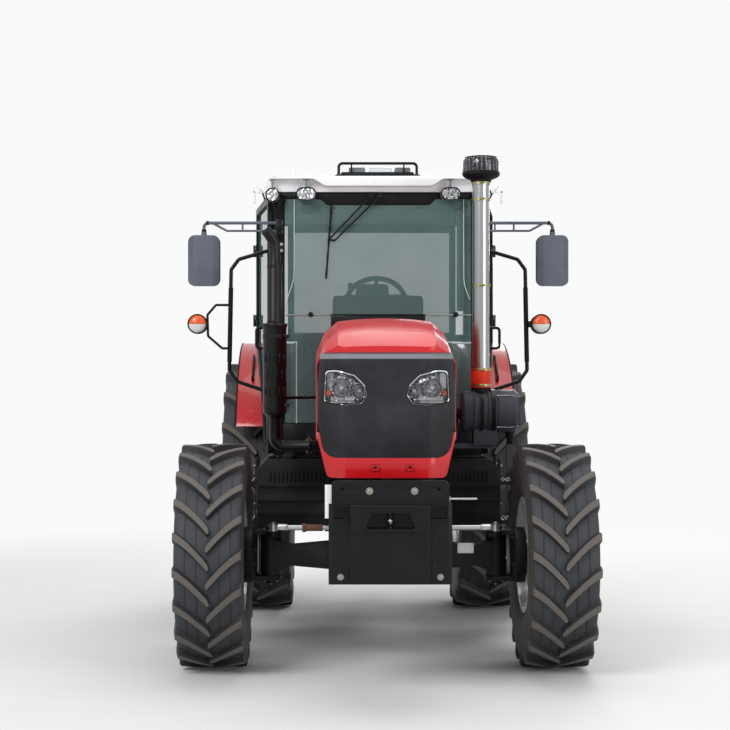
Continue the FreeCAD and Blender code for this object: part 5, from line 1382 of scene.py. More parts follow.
def makeCabFront():
    y = cabFront["paneY"]
    edging = []
    for side in (1, -1):
        run = [(side * 0.5985, y, 2.043), (side * 0.318, y, 2.043), (side * 0.303, y, 2.028),
            (side * 0.303, y, 1.352), (side * 0.5985, y, 1.352)]
        edging.append(pipe(run, 0.0048, False, 0.012, 2))
        edging.append(pipe([(side * 0.599, y, 1.352), (side * 0.599, y, 2.785)], 0.0042, False, 0.01, 2))
    edging.append(pipe([(-0.5985, y, 2.7865), (-0.362, y, 2.7865), (-0.327, y, 2.7485), (0.327, y, 2.7485),
        (0.362, y, 2.7865), (0.5985, y, 2.7865)], 0.0045, False, 0.012, 2))
    edging.append(pipe([(-0.303, y, 2.0445), (0.303, y, 2.0445)], 0.0045, False, 0.01, 2))
    place(edging, "screen_edging", "sealRubber")
    # painted highlight: the black plastic beading along the quarter panes is drawn in the white finish as a
    # line of light
    trim = []
    for side in (1, -1):
        trim.append(pipe([(side * 0.594, y - 0.004, 2.0435), (side * 0.32, y - 0.004, 2.0435),
            (side * 0.305, y - 0.004, 2.0285), (side * 0.305, y - 0.004, 1.9)], 0.0024, False, 0.012, 2))
    place(trim, "pane_beading_highlight", "whiteWire", "black_plastic")
    knobs = [lathe([(0, 0), (0.001, 0.012), (0.005, 0.017), (0.014, 0.017), (0.014, 0)],
        (x, y - 0.016, 2.046), "Y", 28) for x in cabFront["knobs"]]
    place(knobs, "pane_knobs", "blackPlastic")
    lining = [block((0.504, -0.098, 2.07), (0.552, -0.09, 2.715), 0.004)]
    place(lining, "pillar_lining", "grayPlastic")
    wires = [pipe([(-0.534, -0.1465, 2.78), (-0.534, -0.1465, 2.27), (-0.586, -0.1465, 2.13),
        (-0.592, -0.1465, 2.02)], 0.003, False, 0.06, 2), pipe([(0.545, -0.1465, 2.78),
        (0.547, -0.1465, 2.24), (0.585, -0.1465, 2.14)], 0.003, False, 0.06, 2)]
    place(wires, "demister_wires", "whiteWire")
    # cables bunched on the right-hand front pillar
    bunch = [pipe([(-0.668, -0.168, 2.79), (-0.65, -0.166, 2.7), (-0.64, -0.163, 2.56), (-0.632, -0.16, 2.35),
        (-0.63, -0.16, 1.26)], 0.0065, False, 0.04, 3), pipe([(-0.588, -0.165, 2.775), (-0.622, -0.164, 2.69),
        (-0.618, -0.161, 2.5), (-0.616, -0.16, 1.26)], 0.005, False, 0.04, 3)]
    ties = [block((-0.64, -0.17, z), (-0.608, -0.15, z + 0.006), 0.001) for z in (2.46, 2.1, 1.74, 1.4)]
    place(bunch, "pillar_cables", "sealRubber")
    place(ties, "cable_ties", "deepPlastic")
    # rubber blade, its carrier clips and the arms' spring covers
    blade = [rod((-0.2965, -0.1465, 2.741), (-0.331, -0.1465, 2.275), 0.0035, 8, None, 0)]
    for share in (0.08, 0.3, 0.5, 0.7, 0.92):
        x, z = -0.2965 - 0.0345 * share, 2.741 - 0.466 * share
        blade.append(block((x - 0.008, -0.1625, z - 0.012), (x + 0.008, -0.148, z + 0.012), 0.002))
    place(blade, "wiper_rubber", "sealRubber")
    caps = [lathe([(0, 0), (0.001, 0.014), (0.006, 0.0185), (0.012, 0.0185), (0.012, 0)], (x, -0.184, 2.8),
        "Y", 24) for x in (-0.044, 0.013)]
    place(caps, "wiper_caps", "blackPlastic")
    cowl = [block((-0.296, -0.156, 1.98), (0.296, -0.148, 2.034), 0.004, 2)]
    place(cowl, "cowl_panel", "blackPlastic")
    firewall = [bolt((x, -0.1482, z), (0, -1, 0), 0.011) for x in (-0.27, 0.27)
        for z in (1.42, 1.6, 1.78, 1.96)]
    place(firewall, "firewall_bolts", "boltSteel")


makeCabFront()
print("cab front ready")


# Roof: hatch boxes behind the rail, aerial, side hooks, gutter seal, ceiling and rail feet

roofTop = {"hatch": [(-0.185, -0.08, "grayPlastic"), (-0.05, 0.092, "roofWhite"),
    (0.112, 0.212, "grayPlastic")]}


def makeRoofTrim():
    base = block((-0.236, -0.058, 2.928), (0.236, 0.3, 2.969), 0.012, 3)
    place(base, "hatch_base", "blackPlastic")
    for number, (low, high, finishName) in enumerate(roofTop["hatch"]):
        lid = block((low, -0.045, 2.96), (high, 0.23, 2.999), 0.008, 3)
        place(lid, "hatch_box_" + str(number + 1), finishName)
    feet = [lathe([(0, 0), (0, 0.024), (0.004, 0.026), (0.012, 0.016), (0.018, 0.011), (0.018, 0)],
        (x, -0.09, 2.934), "Z", 28) for x in (-0.25, 0.25)]
    feet.append(rod((-0.168, -0.09, 3.018), (-0.168, -0.052, 2.966), 0.005, 12))
    feet.append(rod((0.168, -0.09, 3.018), (0.168, -0.052, 2.966), 0.005, 12))
    place(feet, "rail_feet", "blackPaint")
    aerial = [lathe([(0, 0), (0, 0.022), (0.006, 0.02), (0.016, 0.01), (0.062, 0.0075), (0.068, 0.005),
        (0.07, 0)], (-0.553, -0.02, 2.928), "Z", 24)]
    place(aerial, "aerial", "roofWhite")
    hooks = [block((0.7, -0.178, 2.816), (0.792, -0.17, 2.83), 0.003),
        block((0.778, -0.178, 2.748), (0.792, -0.17, 2.83), 0.003),
        rod((0.738, -0.176, 2.828), (0.77, -0.192, 2.866), 0.006, 12)]
    placeBoth(hooks, "roof_hook", "roofWhite")
    gutter = [(0.738, -0.1), (0.742, 0.68), (0.728, 1.4), (0.63, 1.482)]
    loop = gutter + [(-x, y) for x, y in reversed(gutter)]
    place(pipe([(x, y, 2.8285) for x, y in loop], 0.006, False, 0.05, 2), "roof_seal", "sealRubber")
    ceiling = block((-0.64, -0.085, 2.772), (0.64, 1.33, 2.79), 0.006)
    place(ceiling, "ceiling", "grayPlastic", "white_plastic")
    vents = []
    for x in (-0.3, 0, 0.3):
        vents.append(lathe([(0, 0), (0, 0.034), (-0.006, 0.038), (0.004, 0.042), (0.01, 0.042), (0.01, 0)],
            (x, 0.18, 2.764), "Z", 28))
    place(vents, "ceiling_vents", "blackPlastic")
    grille = [block((x, 1.47, 2.852), (x + 0.008, 1.512, 2.905), 0.001)
        for x in [-0.3 + 0.024 * n for n in range(26)]]
    place(grille, "roof_grille", "deepPlastic")


makeRoofTrim()

lamps = {
    # signal: across, up; work: across, up, half width, half height
    "signal": [("left", 1.028), ("right", -1.143)],
    "signalZ": 1.983,
    "work": [(0.67, 2.797, 0.0375, 0.0375), (0.456, 2.803, 0.056, 0.0355)],
}


def lensOutline(x, z, half, rise, bend):
    return [(x - half, z - rise, bend), (x + half, z - rise, bend), (x + half, z + rise, bend),
        (x - half, z + rise, bend)]


def makeLamps():
    z = lamps["signalZ"]
    for side, x in lamps["signal"]:
        dome = [(-0.024, 0), (-0.0235, 0.02), (-0.02, 0.038), (-0.013, 0.05), (-0.003, 0.0555),
            (0.004, 0.056), (0.004, 0)]
        for part, finishName, keep in (("upper", "amberLens", 1), ("lower", "whiteLens", -1)):
            lens = lathe(dome, (x, -0.236, z), "Y", 48)
            openMesh(lens)
            bpy.ops.mesh.bisect(plane_co=(x, -0.236, z + keep * 0.001), plane_no=(0, 0, keep),
                clear_inner=True, use_fill=True)
            facesOut()
            place(lens, "signal_" + part + "_" + side, finishName, "signal_plastic")
        edge = lathe([(0, 0.056), (-0.006, 0.0575), (-0.006, 0.0632), (0.01, 0.0632), (0.01, 0.056),
            (0, 0.056)], (x, -0.236, z), "Y", 48)
        rear = lathe([(0, 0), (0, 0.046), (0.006, 0.044), (0.009, 0.034), (0.01, 0)], (x, -0.1485, z), "Y",
            40)
        place([edge], "signal_rim_" + side, "deepPlastic")
        place(rear, "signal_rear_" + side, "amberLens")
    for number, (x, z, half, rise) in enumerate(lamps["work"]):
        bend = rise - 0.001
        dish = plate(lensOutline(x, z, half, rise, bend), "xz", -0.2448, -0.2478, 0)
        placeBoth(dish, "work_reflector_" + str(number + 1), "reflector")
        glass = plate(lensOutline(x, z, half + 0.001, rise + 0.001, bend), "xz", -0.2484, -0.256, 0.005)
        placeBoth(glass, "work_lens_" + str(number + 1), "lampGlass")
        edge = [(a, -0.2505, b) for a, b in softCorners(lensOutline(x, z, half + 0.003, rise + 0.003, bend),
            8)]
        placeBoth(pipe(edge, 0.0038, True, 0.001, 3), "work_rim_" + str(number + 1), "deepPlastic")
        screws = [bolt((x - 0.012, -0.262 + 0.034, z + rise + 0.012), (-1, 0, 0), 0.01)]
        placeBoth(screws, "work_screw_" + str(number + 1), "boltSteel")
    back = [rod((0.56, 1.549, 2.887), (0.56, 1.5552, 2.887), 0.0335, 40, None, 0.001)]
    placeBoth(back, "rear_work_reflector", "reflector")
    glass = lathe([(0.012, 0), (0.011, 0.018), (0.006, 0.032), (0, 0.0345), (0, 0)], (0.56, 1.5556, 2.887),
        "Y", 40)
    placeBoth(glass, "rear_work_lens", "lampGlass")
    red = plate(lensOutline(0.664, 1.371, 0.038, 0.03, 0.01), "xz", 2.159, 2.169, 0.003)
    placeBoth(red, "tail_lens", "redLens")
    amber = plate(lensOutline(0.731, 1.371, 0.024, 0.03, 0.01), "xz", 2.159, 2.169, 0.003)
    placeBoth(amber, "tail_signal", "amberLens")


makeLamps()
print("roof and lamps ready")


# Mirrors, rails, doors: glass, brackets, grips, gaskets, handles and locks

doorLine = {"angle": math.asin(120 / 858), "corner": (0.66, -0.15)}


# Place on the slanted door line, given across, along and up
def onDoor(x, y, z):
    turn = doorLine["angle"]
    return (x * math.cos(turn) + y * math.sin(turn) + doorLine["corner"][0],
        -x * math.sin(turn) + y * math.cos(turn) + doorLine["corner"][1], z)


def makeSideFittings():
    glass = plate(lensOutline(1.105, 2.385, 0.09, 0.147, 0.036), "xz", -0.1625, -0.1605, 0.0008)
    placeBoth(glass, "mirror_glass", "mirrorGlass")
    boot = [lathe([(0, 0), (0.001, 0.02), (0.006, 0.027), (0.026, 0.028), (0.026, 0)], (0.628, -0.226, 2.6),
        "Y", 32), block((0.612, -0.206, 2.548), (0.648, -0.196, 2.652), 0.003)]
    placeBoth(boot, "mirror_pivot", "blackPlastic")
    collars = [rod((1.105, -0.192, 2.566), (1.105, -0.192, 2.584), 0.015, 24),
        rod((1.09, -0.192, 2.625), (1.075, -0.192, 2.625), 0.0135, 24)]
    placeBoth(collars, "mirror_collar", "blackPlastic")
    grip = pipe([(0.9348, -0.186, 2.215), (0.94, -0.186, 1.93), (0.9437, -0.186, 1.745)], 0.015, False, 0.02,
        4)
    placeBoth(grip, "rail_grip", "sealRubber")
    feet = [bolt((x, -0.1945, z), (0, -1, 0), 0.011) for x, z in ((0.613, 2.45), (0.613, 2.49), (0.647, 1.51),
        (0.613, 1.55), (0.647, 2.45), (0.613, 1.51))]
    placeBoth(feet, "rail_bolts", "boltSteel")
    # gasket round the door's pane, along its opening
    loop = [(0.06, 1.208), (0.257, 1.208)]
    for step in range(13):
        along = 0.257 + (0.784 - 0.257) * step / 12
        up = 0.8775 + math.sqrt(1.178 ** 2 - (1.3836 - along) ** 2)
        if up > 1.215:
            loop.append((along, up))
    loop += [(0.784, 2.757), (0.06, 2.757)]
    for depth, name in ((0.0295, "door_gasket"), (0.0165, "door_gasket_inner")):
        gasket = pipe([onDoor(depth, a, b) for a, b in loop], 0.0055, True, 0.03, 2)
        placeBoth(gasket, name, "sealRubber", bodies="door")
    latch = [joined([rod(onDoor(0.041, 0.037, z), onDoor(0.046, 0.037, z), 0.019, 28, None, 0.002)
        for z in (1.832, 1.962)])]
    placeBoth(latch, "handle_roses", "blackPlastic", bodies="door")
    lock = rod(onDoor(0.041, 0.034, 1.79), onDoor(0.05, 0.034, 1.79), 0.012, 24, None, 0.002)
    placeBoth(lock, "door_lock", "rodSteel", bodies="door")
    pull = pipe([onDoor(0.008, 0.035, 1.64), onDoor(-0.03, 0.06, 1.66), onDoor(-0.03, 0.06, 1.9),
        onDoor(0.008, 0.035, 1.92)], 0.009, False, 0.02, 3)
    placeBoth(pull, "door_pull", "blackPlastic", bodies="door")
    screws = []
    for z in (2.041, 2.521):
        for up in (0.01, 0.03):
            screws.append(bolt(onDoor(0.0465, 0.806, z + up), (math.cos(doorLine["angle"]),
                -math.sin(doorLine["angle"]), 0), 0.009))
    placeBoth(screws, "hinge_screws", "boltSteel", bodies="door")
    # rubber edge along the fender's lip, and the seal between fender and cab
    for name, x, radius in (("fender_edge", 0.9355, 1.018), ("fender_seal", 0.56, 1.0225)):
        arc = []
        for step in range(41):
            angle = math.radians(26.2 + 127.6 * step / 40)
            arc.append((x, 1.22 - radius * math.cos(angle), 0.8775 + radius * math.sin(angle)))
        placeBoth(pipe(arc, 0.0055, False, 0.001, 2), name, "sealRubber")
    loops = []
    for high, low in ((62, 47), (118, 133)):
        spots = []
        for angle, reach in ((high, 1.016), (high, 1.052), (low, 1.052), (low, 1.016)):
            turn = math.radians(angle)
            spots.append((0.835, 1.22 - reach * math.cos(turn), 0.8775 + reach * math.sin(turn)))
        loops.append(pipe(spots, 0.008, False, 0.02, 3))
    placeBoth(loops, "fender_loops", "blackPaint")


makeSideFittings()
print("side fittings ready")


# Seat: cushion and backrest swell in a cloth run, seams and piping follow; armrests and bellows

seat = {
    # low corner, high corner, corner radius, upright
    "cushion": ((-0.228, 0.712, 1.572), (0.228, 1.18, 1.668), 0.045),
    "backrest": ((-0.218, 1.202, 1.612), (0.218, 1.296, 2.215), 0.042),
    "frames": 20,
    "pressure": 4.0,
    "cap": 0.026,
}


def makePad(name, node, seams):
    low, high, bend = seat[name]
    pad = block(low, high, bend, 4)
    useModifier(pad, "REMESH", mode="VOXEL", voxel_size=0.006)
    before = [vertex.co.copy() for vertex in pad.data.vertices]
    takeUp(pad)
    cloth = pad.modifiers.new("cloth", "CLOTH")
    cloth.settings.use_pressure = True
    cloth.settings.uniform_pressure_force = seat["pressure"]
    cloth.settings.effector_weights.gravity = 0
    cloth.settings.quality = 5
    cloth.point_cache.frame_end = seat["frames"]
    for number in range(1, seat["frames"] + 1):
        bpy.context.scene.frame_set(number)
    bpy.ops.object.modifier_apply(modifier=cloth.name)
    bpy.context.scene.frame_set(1)
    for vertex, spot in zip(pad.data.vertices, before):
        step = vertex.co - spot
        if step.length > seat["cap"]:
            vertex.co = spot + step.normalized() * seat["cap"]
    # stitched channels pull the skin in along straight lines
    for axis, spot, reach in seams:
        for vertex in pad.data.vertices:
            gap = abs(vertex.co[axis] - spot)
            if gap < 0.02:
                centre = (Vector(low) + Vector(high)) / 2
                centre[axis] = vertex.co[axis]
                inward = (centre - vertex.co).normalized()
                vertex.co += inward * reach * (1 - gap / 0.02) ** 2
    useModifier(pad, "SMOOTH", factor=0.5, iterations=3)
    useModifier(pad, "SUBSURF", levels=1, render_levels=1)
    place(pad, name + "_pad", "seatCloth", smooth=60, stands=(node,))


def makeSeat():
    makePad("cushion", "seat_cushion", [(0, -0.13, 0.01), (0, 0.13, 0.01), (1, 0.86, 0.008),
        (1, 1.01, 0.008)])
    makePad("backrest", "seat_backrest", [(0, -0.125, 0.01), (0, 0.125, 0.01), (2, 1.8, 0.008),
        (2, 1.96, 0.008)])
    piping = [pipe([(-0.205, 0.716, 1.628), (0.205, 0.716, 1.628), (0.2325, 0.76, 1.63),
        (0.2325, 1.15, 1.63)], 0.0032, False, 0.03, 2), pipe([(-0.205, 0.716, 1.628), (-0.2325, 0.76, 1.63),
        (-0.2325, 1.15, 1.63)], 0.0032, False, 0.03, 2)]
    place(piping, "seat_piping", "sealRubber")
    arms = []
    for side in (1, -1):
        arms.append(block((side * 0.245, 0.83, 1.815), (side * 0.3, 1.17, 1.86), 0.018, 4))
        arms.append(block((side * 0.238, 1.18, 1.8), (side * 0.262, 1.225, 1.85), 0.006))
    place(arms, "armrests", "blackPlastic")
    folds = []
    for number in range(5):
        z = 1.235 + number * 0.04
        folds.append(block((-0.19 - number * 0.006, 0.82, z), (0.19 + number * 0.006, 1.24, z + 0.028), 0.013,
            3))
    place(folds, "seat_bellows", "sealRubber")
    head = block((-0.12, 1.215, 2.222), (0.12, 1.29, 2.33), 0.03, 4)
    place(head, "headrest", "seatCloth")


makeSeat()
print("seat ready")


# Cab inside: wheel grip and cap, gauges, pedals, console with levers, mat, rear shelf

cabInside = {"wheel": (0, 0.32, 2.15), "tilt": math.radians(50), "pedals": (-0.15, -0.06, 0.17)}


# Place on the steering wheel's own axis, given across, along the rim's rise and along the axis
def onWheel(across, rise, along):
    x, y, z = cabInside["wheel"]
    turn = cabInside["tilt"]
    return (x + across, y - rise * math.cos(turn) + along * math.sin(turn),
        z + rise * math.sin(turn) + along * math.cos(turn))


def makeCabInside():
    tilt = cabInside["tilt"]
    axis = (0, math.sin(tilt), math.cos(tilt))
    grip = [ring(cabInside["wheel"], axis, 0.195, 0.0168, 72, 14)]
    for step in range(12):
        angle = 2 * math.pi * (step + 0.5) / 12
        spot = onWheel(0.195 * math.cos(angle), 0.195 * math.sin(angle), 0)
        tangent = Vector(onWheel(-math.sin(angle), math.cos(angle), 0)) - Vector(cabInside["wheel"])
        grip.append(ring(spot, tangent, 0.017, 0.0022, 20, 6))
    place(grip, "wheel_grip", "sealRubber", body="steering_wheel")
    cap = [rod(onWheel(0, 0, 0.006), onWheel(0, 0, 0.022), 0.052, 40, 0.044, 0.004)]
    knob = [rod(onWheel(-0.17, 0.094, 0.012), onWheel(-0.17, 0.094, 0.05), 0.01, 20),
        rod(onWheel(-0.17, 0.094, 0.046), onWheel(-0.17, 0.094, 0.076), 0.021, 28, 0.016, 0.005)]
    place(cap + knob, "wheel_cap", "blackPlastic", body="steering_wheel")
    cluster = [block((-0.215, -0.02, 2.06), (0.215, 0.085, 2.182), 0.022, 4)]
    place(cluster, "gauge_hood", "blackPlastic")
    dials = []
    for x, radius in ((-0.12, 0.044), (0, 0.052), (0.12, 0.044)):
        dials.append(lathe([(0, 0), (0, radius), (0.006, radius + 0.004), (0.012, radius),
            (0.004, radius - 0.006), (0.003, 0)], (x, 0.082, 2.122), "Y", 40))
    place(dials, "gauges", "deepPlastic")
    hands = [block((x - 0.0015, 0.087, 2.122), (x + 0.0015, 0.0885, 2.122 + 0.032), 0)
        for x in (-0.12, 0, 0.12)]
    place(hands, "gauge_hands", "whiteWire")
    pedals = []
    for x in cabInside["pedals"]:
        pedals.append(block((x - 0.038, 0.205, 1.215), (x + 0.038, 0.223, 1.3), 0.006, 3))
        pedals.append(rod((x, 0.214, 1.29), (x, 0.1, 1.48), 0.009, 14))
        for row in range(4):
            pedals.append(block((x - 0.032, 0.222, 1.226 + row * 0.018),
                (x + 0.032, 0.2275, 1.232 + row * 0.018), 0.001))
    place(pedals, "pedals", "deepPlastic")
    console = [block((-0.53, 0.7, 1.16), (-0.33, 1.26, 1.64), 0.03, 4),
        block((-0.52, 0.704, 1.56), (-0.34, 0.86, 1.7), 0.03, 4)]
    place(console, "side_console", "blackPlastic")
    levers = []
    for x, y, tall in ((-0.475, 0.76, 0.15), (-0.425, 0.76, 0.165), (-0.375, 0.76, 0.15), (-0.475, 0.94, 0.2),
                       (-0.4, 1.02, 0.17)):
        base = 1.69 if y < 0.8 else 1.635
        levers.append(rod((x, y, base), (x, y - 0.02, base + tall), 0.0055, 12))
        levers.append(lathe([(0, 0), (0.002, 0.012), (0.018, 0.018), (0.04, 0.015), (0.048, 0)],
            (x, y - 0.02, base + tall - 0.006), "Z", 20))
        levers.append(lathe([(-0.006, 0), (-0.006, 0.026), (0.006, 0.022), (0.026, 0.009), (0.026, 0)],
            (x, y, base), "Z", 20))
    place(levers, "console_levers", "deepPlastic")
    mat = block((-0.44, 0.1, 1.1505), (0.44, 0.69, 1.16), 0.004)
    place(mat, "floor_mat", "floorMat")
    shelf = [block((-0.5, 1.29, 1.7), (0.5, 1.338, 1.89), 0.02, 3),
        block((-0.36, 1.262, 1.6), (0.36, 1.3, 1.69), 0.014, 3)]
    place(shelf, "rear_lining", "blackPlastic")
    screen = block((0.41, -0.0235, 2.64), (0.53, -0.02, 2.762), 0.003)
    place(screen, "display_face", "lampGlass", "black_plastic")
    inner = plate(lensOutline(-0.432, 2.735, 0.058, 0.033, 0.028), "xz", -0.0422, -0.04, 0.0008)
    place(inner, "inside_mirror_glass", "mirrorGlass")


makeCabInside()
print("cab inside ready")


# Tanks and steps: filler, straps, box covers with latches, anti-slip studs, side guards, bolts and louvres

lowSides = {"studs": (6, 9), "treads": (0.46, 0.71, 0.96)}


def makeLowSides():
    cap = [lathe([(0, 0), (0, 0.04), (0.012, 0.042), (0.026, 0.042), (0.034, 0.036), (0.036, 0)],
        (-0.56, -0.225, 1.128), "Z", 36), block((-0.592, -0.231, 1.158), (-0.528, -0.219, 1.172), 0.003)]
    place(cap, "fuel_cap", "deepPlastic")
    straps = []
    for y in (-0.19, 0.06):
        run = [(0.315, y, 0.7), (0.748, y, 0.6885), (0.7665, y, 0.722), (0.7665, y, 1.058), (0.7, y, 1.1312)]
        straps.append(pipe(run, 0.0055, False, 0.02, 2))
        straps.append(bolt((0.7665, y + 0.014, 0.9), (1, 0, 0), 0.014))
    placeBoth(straps, "tank_straps", "chassisPaint")
    door = [block((0.7645, -0.16, 0.77), (0.769, 0.03, 1.02), 0.004, 3)]
    placeBoth(door, "box_cover", "blackPlastic")
    latches = [rod((0.768, -0.14, 0.79), (0.775, -0.14, 0.79), 0.01, 20),
        rod((0.768, 0.01, 0.79), (0.775, 0.01, 0.79), 0.01, 20)]
    placeBoth(latches, "cover_latches", "rodSteel")
    nets = []
    columns, rows = lowSides["studs"]
    for z in lowSides["treads"]:
        stud = rod((0.8, -0.105, z + 0.023), (0.8, -0.105, z + 0.029), 0.0055, 8, 0.0035, 0)
        useModifier(stud, "ARRAY", count=columns, use_relative_offset=False, use_constant_offset=True,
            constant_offset_displace=(0.027, 0, 0))
        useModifier(stud, "ARRAY", count=rows, use_relative_offset=False, use_constant_offset=True,
            constant_offset_displace=(0, 0.033, 0))
        nets.append(stud)
        nets.append(block((0.956, -0.125, z - 0.01), (0.963, 0.185, z + 0.026), 0.002))
    placeBoth(nets, "step_studs", "rodSteel", "chassis_paint")
    bolts = [bolt((0.7853, y, z), (1, 0, 0), 0.013) for y in (-0.12, 0.13) for z in (0.6, 0.84, 1.08)]
    placeBoth(bolts, "step_bolts", "boltSteel")
    grille = [block((x, -0.3015, 0.99), (x + 0.01, -0.299, 1.06), 0.001)
        for x in [0.34 + 0.026 * n for n in range(14)]]
    placeBoth(grille, "box_louvres", "deepPlastic")


makeLowSides()
print("low sides ready")


# Engine bay: head cover, manifold, filters, pump, belt drive, fan, radiator cores and hoses



def makeEngine():
    cover = [block((-0.13, -1.4, 1.615), (0.13, -0.56, 1.69), 0.022, 4)]
    cover += [lathe([(0, 0), (0, 0.03), (0.014, 0.033), (0.024, 0.028), (0.026, 0)], (0.06, -1.3, 1.686), "Z",
        28)]
    place(cover, "head_cover", "blackPaint", "chassis_paint")
    bolts = [bolt((x, y, 1.6215), (0, 0, 1), 0.014) for x in (-0.165, 0.165)
        for y in [-1.36 + 0.13 * n for n in range(7)]]
    bolts += [bolt((x, y, 1.69), (0, 0, 1), 0.012) for x in (0,) for y in (-1.3, -0.98, -0.66)]
    place(bolts, "head_bolts", "boltSteel")
    manifold = [pipe([(-0.268, -1.3, 1.52), (-0.268, -0.64, 1.52)], 0.03, False, 0.02, 4)]
    for y in (-1.3, -1.09, -0.88, -0.67):
        manifold.append(pipe([(-0.226, y, 1.52), (-0.272, y, 1.52)], 0.026, False, 0.02, 4))
        manifold.append(block((-0.238, y - 0.042, 1.482), (-0.229, y + 0.042, 1.558), 0.004))
    turbo = [lathe([(-0.05, 0), (-0.05, 0.04), (-0.036, 0.066), (0, 0.07), (0.02, 0.05), (0.03, 0.034),
        (0.06, 0.034), (0.07, 0.06), (0.1, 0.064), (0.112, 0.04), (0.112, 0)], (-0.29, -0.78, 1.42), "Y", 40)]
    elbow = [pipe([(-0.29, -0.64, 1.42), (-0.29, -0.6, 1.4), (-0.262, -0.6, 1.25)], 0.028, False, 0.03, 4)]
    place(manifold + turbo + elbow, "exhaust_manifold", "rustyIron")
    filters = []
    for y in (-1.22, -1.09):
        filters.append(lathe([(0, 0), (0.004, 0.036), (0.014, 0.044), (0.13, 0.044), (0.138, 0.048),
            (0.15, 0.048), (0.15, 0)], (0.29, y, 1.18), "Z", 36))
    place(filters, "oil_filters", "redPaint")
    holder = [block((0.228, -1.285, 1.325), (0.345, -1.025, 1.362), 0.008),
        block((0.228, -0.98, 1.3), (0.3, -0.7, 1.42), 0.012, 3)]
    for y in (-0.94, -0.87, -0.8, -0.73):
        holder.append(rod((0.272, y, 1.418), (0.272, y, 1.45), 0.012, 16))
    place(holder, "injection_pump", "grayPaint")
    lines = []
    for y in (-0.94, -0.87, -0.8, -0.73):
        lines.append(pipe([(0.272, y, 1.45), (0.272, y, 1.56), (0.18, y - 0.06, 1.64),
            (0.132, y - 0.06, 1.655)], 0.0045, False, 0.03, 2))
    place(lines, "injection_lines", "rodSteel")
    pulleys = []
    for x, z, radius in ((0, 1.18, 0.085), (0, 1.47, 0.07), (0.165, 1.35, 0.04)):
        pulleys.append(lathe([(-0.03, 0), (-0.03, radius), (-0.022, radius), (-0.015, radius - 0.012),
            (-0.008, radius), (0.002, radius), (0.002, 0)], (x, -1.482, z), "Y", 40))
    place(pulleys, "pulleys", "grayPaint")
    belt = [pipe([(-0.088, -1.497, 1.18), (-0.073, -1.497, 1.47), (0, -1.497, 1.545), (0.075, -1.497, 1.47),
        (0.207, -1.497, 1.35), (0.088, -1.497, 1.18), (0, -1.497, 1.092)], 0.006, True, 0.06, 2)]
    place(belt, "fan_belt", "sealRubber")
    blade = block((-0.03, -1.522, 1.53), (0.034, -1.516, 1.668), 0.002)
    openMesh(blade)
    bpy.ops.transform.rotate(value=math.radians(28), orient_axis="Z", center_override=(0, -1.519, 1.6))
    closeMesh()
    copiesRound(blade, 7, (0, -1.519, 1.47), (0, 1, 0))
    hub = lathe([(-0.008, 0), (-0.008, 0.058), (0.01, 0.062), (0.014, 0)], (0, -1.519, 1.47), "Y", 36)
    place([blade, hub], "fan", "blackPlastic")
    alternator = lathe([(0, 0), (0, 0.052), (0.01, 0.062), (0.11, 0.062), (0.124, 0.05), (0.124, 0)],
        (0.3, -1.47, 1.35), "Y", 36)
    place(alternator, "alternator", "rodSteel")
    fins = [block((-0.25, -1.6235, z), (0.25, -1.6205, z + 0.006), 0)
        for z in [1.08 + 0.0165 * n for n in range(41)]]
    place(fins, "radiator_fins", "grayPaint", "rod_steel")
    tanks = [block((-0.268, -1.632, 1.735), (0.268, -1.52, 1.772), 0.012, 3),
        block((-0.268, -1.632, 1.032), (0.268, -1.52, 1.066), 0.012, 3)]
    place(tanks, "radiator_tanks", "blackPaint")
    hoses = [pipe([(0.15, -1.525, 1.745), (0.15, -1.47, 1.745), (0.12, -1.44, 1.7), (0.11, -1.4, 1.65)],
        0.024, False, 0.03, 4), pipe([(-0.17, -1.525, 1.05), (-0.17, -1.5, 1.052), (-0.2, -1.44, 1.12),
        (-0.235, -1.4, 1.18)], 0.026, False, 0.03, 4)]
    place(hoses, "coolant_hoses", "sealRubber")
    plugs = []
    for side, x in ((1, 0.2305), (-1, -0.2305)):
        for y in (-1.38, -0.6):
            for z in (1.12, 1.45):
                plugs.append(bolt((x, y, z), (side, 0, 0), 0.018))
    place(plugs, "engine_bolts", "boltSteel")
    starter = lathe([(0, 0), (0, 0.04), (0.01, 0.046), (0.2, 0.046), (0.21, 0.034), (0.21, 0)],
        (0.275, -0.64, 1.08), "Y", 36)
    place(starter, "starter", "blackPaint")


makeEngine()
print("engine ready")


# Drive line below: shaft cover, casting bolts, plugs, brake lines and cab mounts

